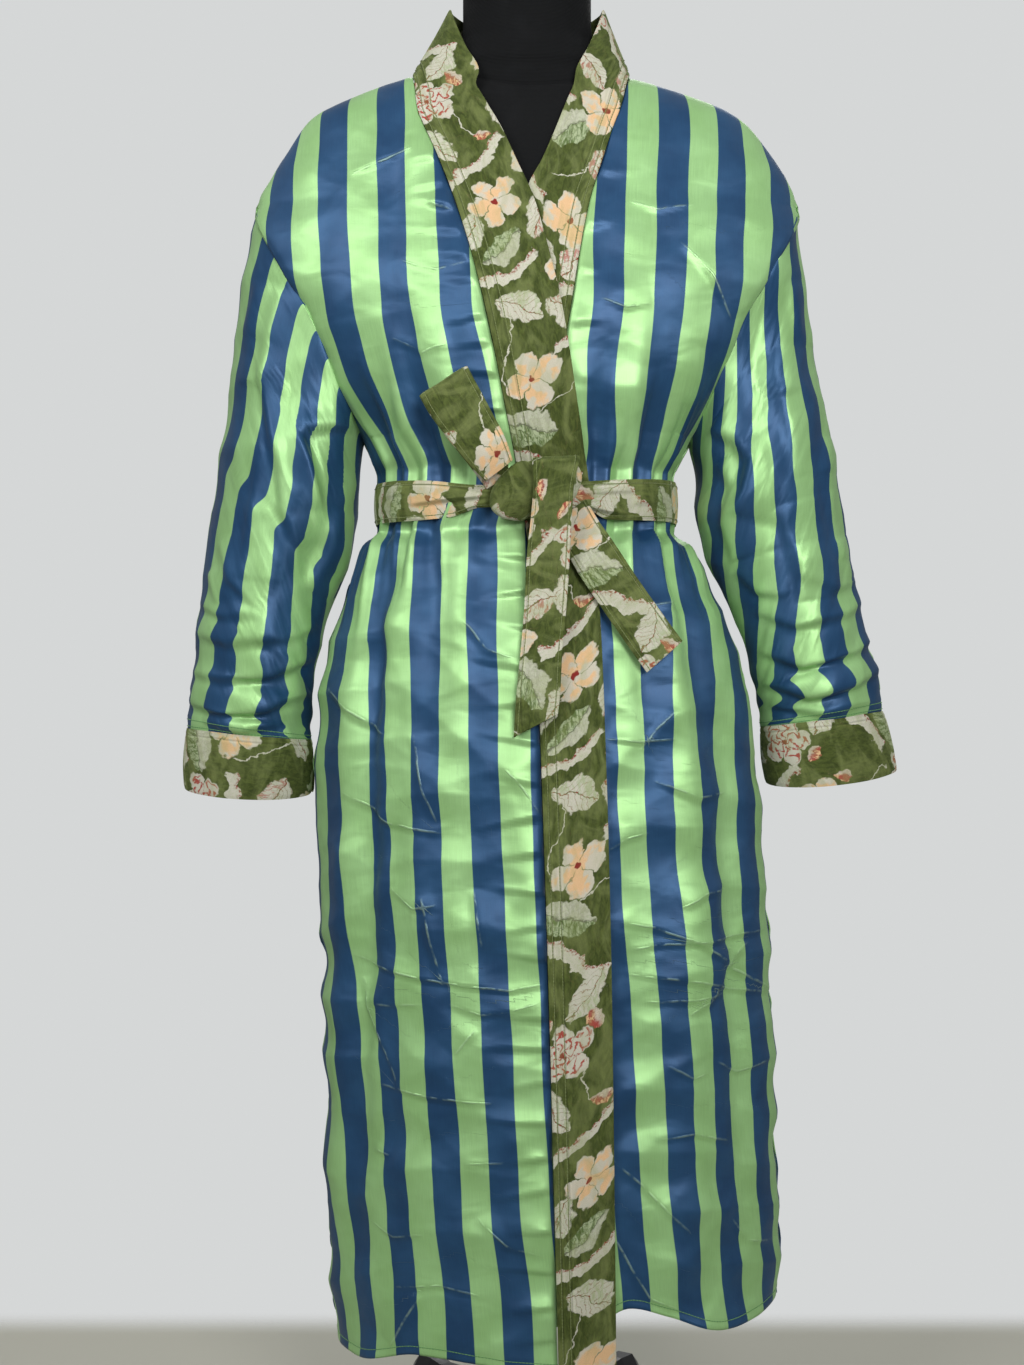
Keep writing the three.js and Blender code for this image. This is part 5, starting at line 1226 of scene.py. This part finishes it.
def cuff_surface(sleeve, last, turn):
    """The cuff, from a little over the sleeve's last ring down to its own mouth."""
    sign = sleeve["sign"]
    ends = [np.broadcast_to((float(x), 0.0, float(z)), last.shape).copy() for x, z in sleeve["cuff"]]
    first, second = ends if sign > 0 else ends[::-1]
    mouth = ring_point(first, second, turn, CUFF_DEPTH, np.ones(turn.shape), np.zeros(turn.shape))
    mouth[:, 2] -= CUFF_FRONT_DROP * np.sin(turn)
    out = (last - last[:-1].mean(axis=0)) * (1, 1, 0)
    out = out / np.linalg.norm(out, axis=1, keepdims=True) * CUFF_PROUD
    fall = np.linspace(0, 1, int(64 * COARSE) + 1)[:, None, None]
    points = mix((last + out + (0, 0, CUFF_LAP))[None], (mouth + out)[None], fall)
    normal = normals_of(points, closed=True)
    over, down = measure(points)
    height = 0.9 * np.sin(over / 17 + sign) * fall[..., 0] + 0.4 * np.sin(over / 7.3 + down / 11)
    height += 1.6 * bell(down - 34, 26) - 0.9 * bell(down, 3)
    height -= 0.7 * bell(down.max(axis=0) - down, 2.4) + 0.45 * bell(down - CUFF_ROW, 1.4)
    return points + normal * height[..., None], np.stack([over + 130 * (sign > 0), down], axis=-1)


def make_sleeve(side):
    points, share, turn = sleeve_surface(side)
    cloth = sleeve_cloth(side, points, share, turn)
    piece = grid_object(f"satin_sleeve_{side}", points, cloth, satin, SATIN, closed=True)
    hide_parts(f"sleeve_{side}")
    stitches = [thread(f"satin_sleeve_{side}_stitches_{i}", *line_down(points, 1 - gap / MOUTH_LENGTH),
                       satin_thread) for i, gap in enumerate(SLEEVE_ROWS, 1)]
    cuff_points, cuff_uv = cuff_surface(SLEEVES[side], points[-1], turn[-1])
    cuff = grid_object(f"velvet_cuff_{side}", cuff_points, cuff_uv, velvet_cuff, VELVET, closed=True,
                       rim=0.7)
    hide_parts(f"cuff_{side}")
    return piece, stitches, cuff


sleeve_pieces = [make_sleeve(side) for side in ("right", "left")]

# ---- belt -----------------------------------------------------------------------------------
# x and height of the belt's lower and upper edge at the front, drawn in beside the knot.
BELT_FOOT = [(-147, 916), (-110, 915), (-71, 917), (-40, 926), (7, 927), (51, 925), (72, 915), (145, 917)]
BELT_TOP = [(-147, 956), (-90, 953), (-40, 947), (7, 947), (53, 951), (100, 955), (145, 958)]
BELT_BACK_FOOT, BELT_BACK_TOP = 915.5, 956
BELT_LEVEL, BELT_LIFT_SIDE, BELT_LIFT_FRONT = 935.5, 4.2, 9.4
EDGE_ROW = 4             # a ribbon's rows of stitching, from its edges
BELT_CREASES = [
    ([(-112, 931), (-80, 934), (-36, 937)], 2.6, 2.6), ([(-70, 947), (-50, 943), (-30, 940)], 1.2, 2.4),
    ([(-66, 923), (-50, 928), (-32, 933)], 1.3, 2.4), ([(96, 921), (74, 923), (46, 930)], 2.4, 2.4),
    ([(104, 944), (76, 942), (44, 938)], 1.2, 2.6), ([(124, 934), (100, 932)], 0.8, 3),
    ([(-138, 940), (-118, 944)], 0.8, 3),
]


def velvet_edges(across, width):
    """How far velvet dips along its two rolled edges and the rows of stitches beside them."""
    return sum(0.7 * bell(away, 1.8) + 0.35 * bell(away - EDGE_ROW, 1.1)
               for away in (across, width - across))


def belt_surface():
    rows, columns = int(30 * COARSE) + 4, int(420 * COARSE)
    turn = np.linspace(0, 2 * np.pi, columns + 1)
    front = turn < np.pi
    around = np.where(front, np.pi - turn, turn - np.pi)
    x = np.where(front, x_of_turn("front", around, BELT_LEVEL), x_of_turn("back", around, BELT_LEVEL))
    y = np.where(front, depth_at("front", x, BELT_LEVEL), depth_at("back", x, BELT_LEVEL))
    lift = mix(BELT_LIFT_SIDE, BELT_LIFT_FRONT, np.where(front, ease((142 - np.abs(x)) / 30), 0))
    grow = 1 + lift / np.hypot(x, y)
    blend_front = np.where(front, ease(y / 26), 0)
    foot = mix(BELT_BACK_FOOT, curve(BELT_FOOT)(x), blend_front)
    top = mix(BELT_BACK_TOP, curve(BELT_TOP)(x), blend_front)
    share = np.linspace(0, 1, rows + 1)[:, None]
    z = mix(top[None, :], foot[None, :], share)
    y = np.where(front, -y, y)
    points = np.stack(np.broadcast_arrays((x * grow)[None, :], (y * grow)[None, :], z), axis=-1)
    normal = normals_of(points, closed=True)
    over, down = measure(points)
    height = 1.1 * np.sin(np.pi * share) + 0.35 * np.sin(over / 13) * np.sin(np.pi * share)
    height = height + np.where(front[None, :], relief(BELT_CREASES, points[..., 0], points[..., 2]), 0)
    height = height - velvet_edges(down, down[-1:])
    return points + normal * height[..., None], np.stack([over, down], axis=-1)


belt_points, belt_uv = belt_surface()
belt = grid_object("velvet_belt", belt_points, belt_uv, velvet_belt, VELVET, closed=True, rim=0.6)
belt_stitches = [thread(f"velvet_belt_stitches_{i}", *line_down(belt_points, at), velvet_thread)
                 for i, at in enumerate((0.1, 0.9), 1)]

# Stations of the ribbons: x, y, z, half-width in x and z, and how far the middle bows out.
TAIL_CENTRE = [(27, -131.0, 964, 20, 1, 1), (26.5, -140, 971.5, 22, 1, 2.4), (26, -149, 968, 22.5, 1, 3),
               (24, -153, 946, 19.5, 0, 3.4), (22, -152.0, 918, 19.5, 0, 2.4), (19, -150, 880, 20.5, 0, 2),
               (16, -154, 830, 20, 0, 2), (12, -159, 785, 20, 1, 2), (9, -162, 745, 21, 4, 2),
               (7, -163, 720, 21, 11, 2)]
TAIL_SIDE = [(43, -119, 925, 12, 9, 0), (50, -127, 902, 16, 12, 1), (62, -137, 880, 18, 13, 3),
             (83, -140, 848, 18, 13, 3), (105, -141, 816, 18, 13, 2), (128, -141, 784, 17, 15, 2)]
LOOP = [(-28, -119.2, 950, 11, 7, 0), (-39, -122.4, 975, 16, 11, 0), (-56, -131, 1003, 20, 13, 0),
        (-73, -133, 1030, 22, 14, 0), (-80, -138, 1043, 22, 14, 0), (-79, -144, 1042, 22, 14, 0),
        (-71, -148, 1027, 22, 14, 3), (-54, -150, 1000, 20, 13, 4), (-37, -149, 974, 17, 12, 4),
        (-27, -143.5, 958, 13, 10, 1)]


def ribbon(name, node, stations, rows, material):
    """A flat doubled strip of velvet, edge-stitched, through its stations."""
    path = through(stations, int(rows * COARSE) + 6)
    share = np.linspace(-1, 1, int(34 * COARSE) + 4)
    x, y, z, half_x, half_z, bow = (path[:, i][:, None] for i in range(6))
    points = np.stack(np.broadcast_arrays(x - half_x * share, y - bow * (1 - share * share),
                                          z - half_z * share), axis=-1)
    normal = normals_of(points)
    over, down = measure(points)
    width = over[:, -1:]
    height = 0.4 * np.sin(down / 15) * (1 - share ** 2) + 0.3 * np.sin(over / 6 + down / 19)
    points = points + normal * (height - velvet_edges(over, width))[..., None]
    piece = grid_object(name, points, np.stack([down, over], axis=-1), material, VELVET, rim=0.6)
    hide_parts(node)
    row = EDGE_ROW / float(width.mean())
    stitches = [thread(f"{name}_stitches_{i}", *line_across(points, at), velvet_thread)
                for i, at in enumerate((row, 1 - row), 1)]
    return piece, stitches


tail_centre, centre_stitches = ribbon("velvet_tail_centre", "belt_tail_centre", TAIL_CENTRE, 150,
                                      velvet_tails)
tail_side, side_stitches = ribbon("velvet_tail_side", "belt_tail_side", TAIL_SIDE, 110, velvet_belt)
loop, loop_stitches = ribbon("velvet_loop", "belt_loop", LOOP, 180, velvet_loop)

KNOT_CENTRE, KNOT_HALF = (7.5, -129.9, 942), (40.6, 12, 28)
KNOT_CREASES = [
    ([(50, 930), (40, 944), (44, 962)], 2.2, 3.0), ([(46, 918), (38, 930), (36, 946)], 1.4, 2.6),
    ([(-30, 924), (-22, 918), (-10, 916)], 0.8, 2.6), ([(-18, 958), (-6, 962), (4, 968)], 0.7, 2.4),
]
LOBE = (-15, 941, 27, 5.5)      # x, height, reach and rise of the smooth wrap beside the tail
KNOT_HOLLOW = (3, 5, 4.5)       # x, reach and depth of the hollow between that wrap and the tail
KNOT_LEAN, KNOT_ROUNDNESS, KNOT_SWELL = 13, 0.72, 2.4


def knot_surface():
    rows, columns = int(44 * COARSE) + 6, int(96 * COARSE)
    rise, turn = np.meshgrid(np.linspace(0.495, -0.495, rows + 1) * np.pi,
                             np.linspace(0, 2 * np.pi, columns + 1), indexing="ij")
    round_off = np.cos(rise) ** KNOT_ROUNDNESS
    lean = KNOT_LEAN * np.sin(rise)
    x = KNOT_CENTRE[0] + KNOT_HALF[0] * round_off * np.cos(turn) + lean
    y = KNOT_CENTRE[1] - (KNOT_HALF[1] + KNOT_SWELL) * round_off * np.sin(turn)
    z = KNOT_CENTRE[2] + KNOT_HALF[2] * np.sin(rise)
    points = np.stack([x, y, z], axis=-1)
    normal = normals_of(points, closed=True)
    lobe = LOBE[3] * bell(np.hypot(x - LOBE[0], z - LOBE[1]), LOBE[2])
    hollow = KNOT_HOLLOW[2] * bell(x - KNOT_HOLLOW[0], KNOT_HOLLOW[1])
    height = (relief(KNOT_CREASES, x, z) + lobe - hollow) * np.clip(np.sin(turn) * 2, 0, 1)
    points = points + normal * height[..., None]
    over, down = measure(points)
    return points, np.stack([over * 0.7 + down * 0.7, down * 0.7 - over * 0.7], axis=-1)


knot_points, knot_uv = knot_surface()
knot = grid_object("velvet_knot", knot_points, knot_uv, velvet_knot, 0, closed=True)
for piece, node in ((belt, "belt_waist"), (knot, "belt_knot")):
    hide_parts(node)

# ---- dress form and stand -------------------------------------------------------------------
# z, half-width, front depth, back depth of the form.
FORM = [(1442, 64, 53, 58), (1420, 64, 53, 58), (1400, 66, 53, 59), (1386, 72, 54, 60), (1375, 82, 54, 61),
        (1364, 91, 52, 61), (1352, 118, 52, 65), (1342, 149, 53, 71), (1330, 176, 57, 79),
        (1314, 192, 65, 87), (1282, 198, 79, 97), (1235, 190, 92, 103), (1180, 170, 110, 105),
        (1120, 152, 120, 100), (1060, 140, 113, 92), (1000, 133, 103, 87), (950, 131, 97, 85),
        (900, 137, 99, 92), (845, 152, 106, 107), (780, 168, 115, 124), (720, 173, 117, 130),
        (660, 169, 114, 127), (615, 161, 108, 119), (600, 152, 100, 110)]
FORM_ROUNDNESS = 2.1
FORM_SEAM = [(-90, 1360), (-48, 1351), (0, 1343), (48, 1347), (90, 1358)]


def form_surface():
    rows, columns = int(420 * COARSE), int(140 * COARSE)
    z, turn = np.meshgrid(np.linspace(FORM[0][0], FORM[-1][0], rows + 1),
                          np.linspace(0, 2 * np.pi, columns + 1), indexing="ij")
    half, front, rear = (column(FORM, i)(z) for i in (1, 2, 3))
    power = 2 / FORM_ROUNDNESS
    c, s = np.cos(turn), np.sin(turn)
    x = half * np.sign(c) * np.abs(c) ** power
    y = -np.where(s > 0, front, rear) * np.sign(s) * np.abs(s) ** power
    points = np.stack([x, y, z], axis=-1)
    normal = normals_of(points, closed=True)
    seam = z - curve(FORM_SEAM)(x)
    height = -1.8 * bell(seam, 2.2) + 1.3 * ease((-seam) / 2.0) * ease((60 + seam) / 60)
    height = height - 0.5 * bell(x, 0.9) * ease(-seam / 3)
    points = points + normal * height[..., None]
    return points, np.stack([turn * 40, z], axis=-1)


form_points, form_uv = form_surface()
form = grid_object("form_body", form_points, form_uv, knit, 0, closed=True)


def close_ends(piece):
    """Fills the open ends of a tube and keeps its faces outwards."""
    bm = bmesh.new()
    bm.from_mesh(piece.data)
    rims = [edge for edge in bm.edges if edge.is_boundary]
    for lid in bmesh.ops.holes_fill(bm, edges=rims, sides=0)["faces"]:
        lid.smooth = False
    bmesh.ops.recalc_face_normals(bm, faces=bm.faces)
    bm.to_mesh(piece.data)
    bm.free()


close_ends(form)
close_ends(knot)
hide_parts("form_torso")
for name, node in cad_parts.items():
    finish = knit if name.startswith("form_") else steel if name.startswith("stand_") else None
    if finish:
        node.data.materials.clear()
        node.data.materials.append(finish)

# ---- hem stitches ---------------------------------------------------------------------------
for name, points in (("over", over_points), ("under", under_points), ("back", back_points)):
    fall = np.linalg.norm(points[-1] - points[-2], axis=1).mean()
    share = 1 - HEM / fall / (points.shape[0] - 1)
    thread(f"satin_hem_stitches_{name}", *line_down(points, share), satin_thread)

# ---- stage, light and camera ----------------------------------------------------------------
FLOOR_BACK, FLOOR_FADE = 0.46, 0.36    # the floor thins out to nothing between these depths
FLOOR_REACH, FLOOR_DROP = 6, 0.0005


def stage_sheet(name, size, place, colour):
    bm = bmesh.new()
    bmesh.ops.create_grid(bm, x_segments=1, y_segments=1, size=0.5)
    bmesh.ops.scale(bm, verts=bm.verts, vec=(*size, 1))
    bmesh.ops.translate(bm, verts=bm.verts, vec=place)
    mesh = bpy.data.meshes.new(name)
    bm.to_mesh(mesh)
    bm.free()
    sheet = bpy.data.objects.new(name, mesh)
    bpy.context.scene.collection.objects.link(sheet)
    material, tree, shader = new_material(name)
    ground = wire(tree, "ShaderNodeTexCoord").outputs["Object"]
    grain = noise(tree, ground, 3.0, 4.0, 0.6)
    paler = tuple(min(1.0, v * 1.06) for v in colour[:3]) + (1.0,)
    tree.links.new(blend(tree, grain, colour, paler), shader.inputs["Base Color"])
    shader.inputs["Roughness"].default_value = 0.8
    depth = wire(tree, "ShaderNodeSeparateXYZ", {0: ground}).outputs[1]
    tree.links.new(step_between(tree, depth, FLOOR_FADE, FLOOR_BACK, 1.0, 0.0), shader.inputs["Alpha"])
    mesh.materials.append(material)


stage_sheet("floor", (2 * FLOOR_REACH, FLOOR_BACK + FLOOR_REACH),
            (0, (FLOOR_BACK - FLOOR_REACH) / 2, -FLOOR_DROP), FLOOR)


def soft_light(name, place, aim, size, power, spread):
    light = bpy.data.lights.new(name, "AREA")
    light.shape = "RECTANGLE"
    light.size, light.size_y = size
    light.energy = power
    light.spread = math.radians(spread)
    lamp = bpy.data.objects.new(name, light)
    lamp.location = place
    lamp.rotation_euler = (Vector(aim) - Vector(place)).to_track_quat("-Z", "Y").to_euler()
    bpy.context.scene.collection.objects.link(lamp)


soft_light("key", (-1.5, -1.9, 2.3), (0, 0, 1.25), (1.1, 1.1), 10.0, 100)
soft_light("front", (0.75, -2.9, 1.7), (0.05, 0, 1.22), (1.0, 1.3), 9.0, 60)
soft_light("back", (0.4, 2.4, 2.4), (0, 0, 0.8), (1.6, 1.2), 24, 180)

# The surroundings light the object softly, more from above, and look even to the camera.
WALL, WALL_LIGHT = (0.98, 1.0, 1.0, 1.0), 0.68
world = bpy.data.worlds.new("studio")
world.use_nodes = True
sky = world.node_tree
seen = wire(sky, "ShaderNodeLightPath").outputs["Is Camera Ray"]
around = wire(sky, "ShaderNodeTexCoord").outputs["Generated"]
up = wire(sky, "ShaderNodeSeparateXYZ", {0: around}).outputs[2]
glow = step_between(sky, up, -0.7, 0.8, 0.05, 0.5)
strength = calc(sky, "ADD", calc(sky, "MULTIPLY", seen, WALL_LIGHT),
                calc(sky, "MULTIPLY", calc(sky, "SUBTRACT", 1.0, seen), glow))
sky.links.new(strength, sky.nodes["Background"].inputs["Strength"])
sky.nodes["Background"].inputs["Color"].default_value = WALL
bpy.context.scene.world = world
bpy.context.scene.view_settings.view_transform = "Standard"

LENS, SENSOR, CAMERA_PLACE = 58.02, 36, (-0.015, -2.2, 0.76)
camera_data = bpy.data.cameras.new("camera")
camera_data.lens = LENS
camera_data.sensor_width = SENSOR
camera_data.sensor_fit = "AUTO"
camera_data.clip_start, camera_data.clip_end = 0.05, 50
camera = bpy.data.objects.new("camera", camera_data)
camera.location = CAMERA_PLACE
camera.rotation_euler = (math.radians(90), 0, 0)
bpy.context.scene.collection.objects.link(camera)
bpy.context.scene.camera = camera
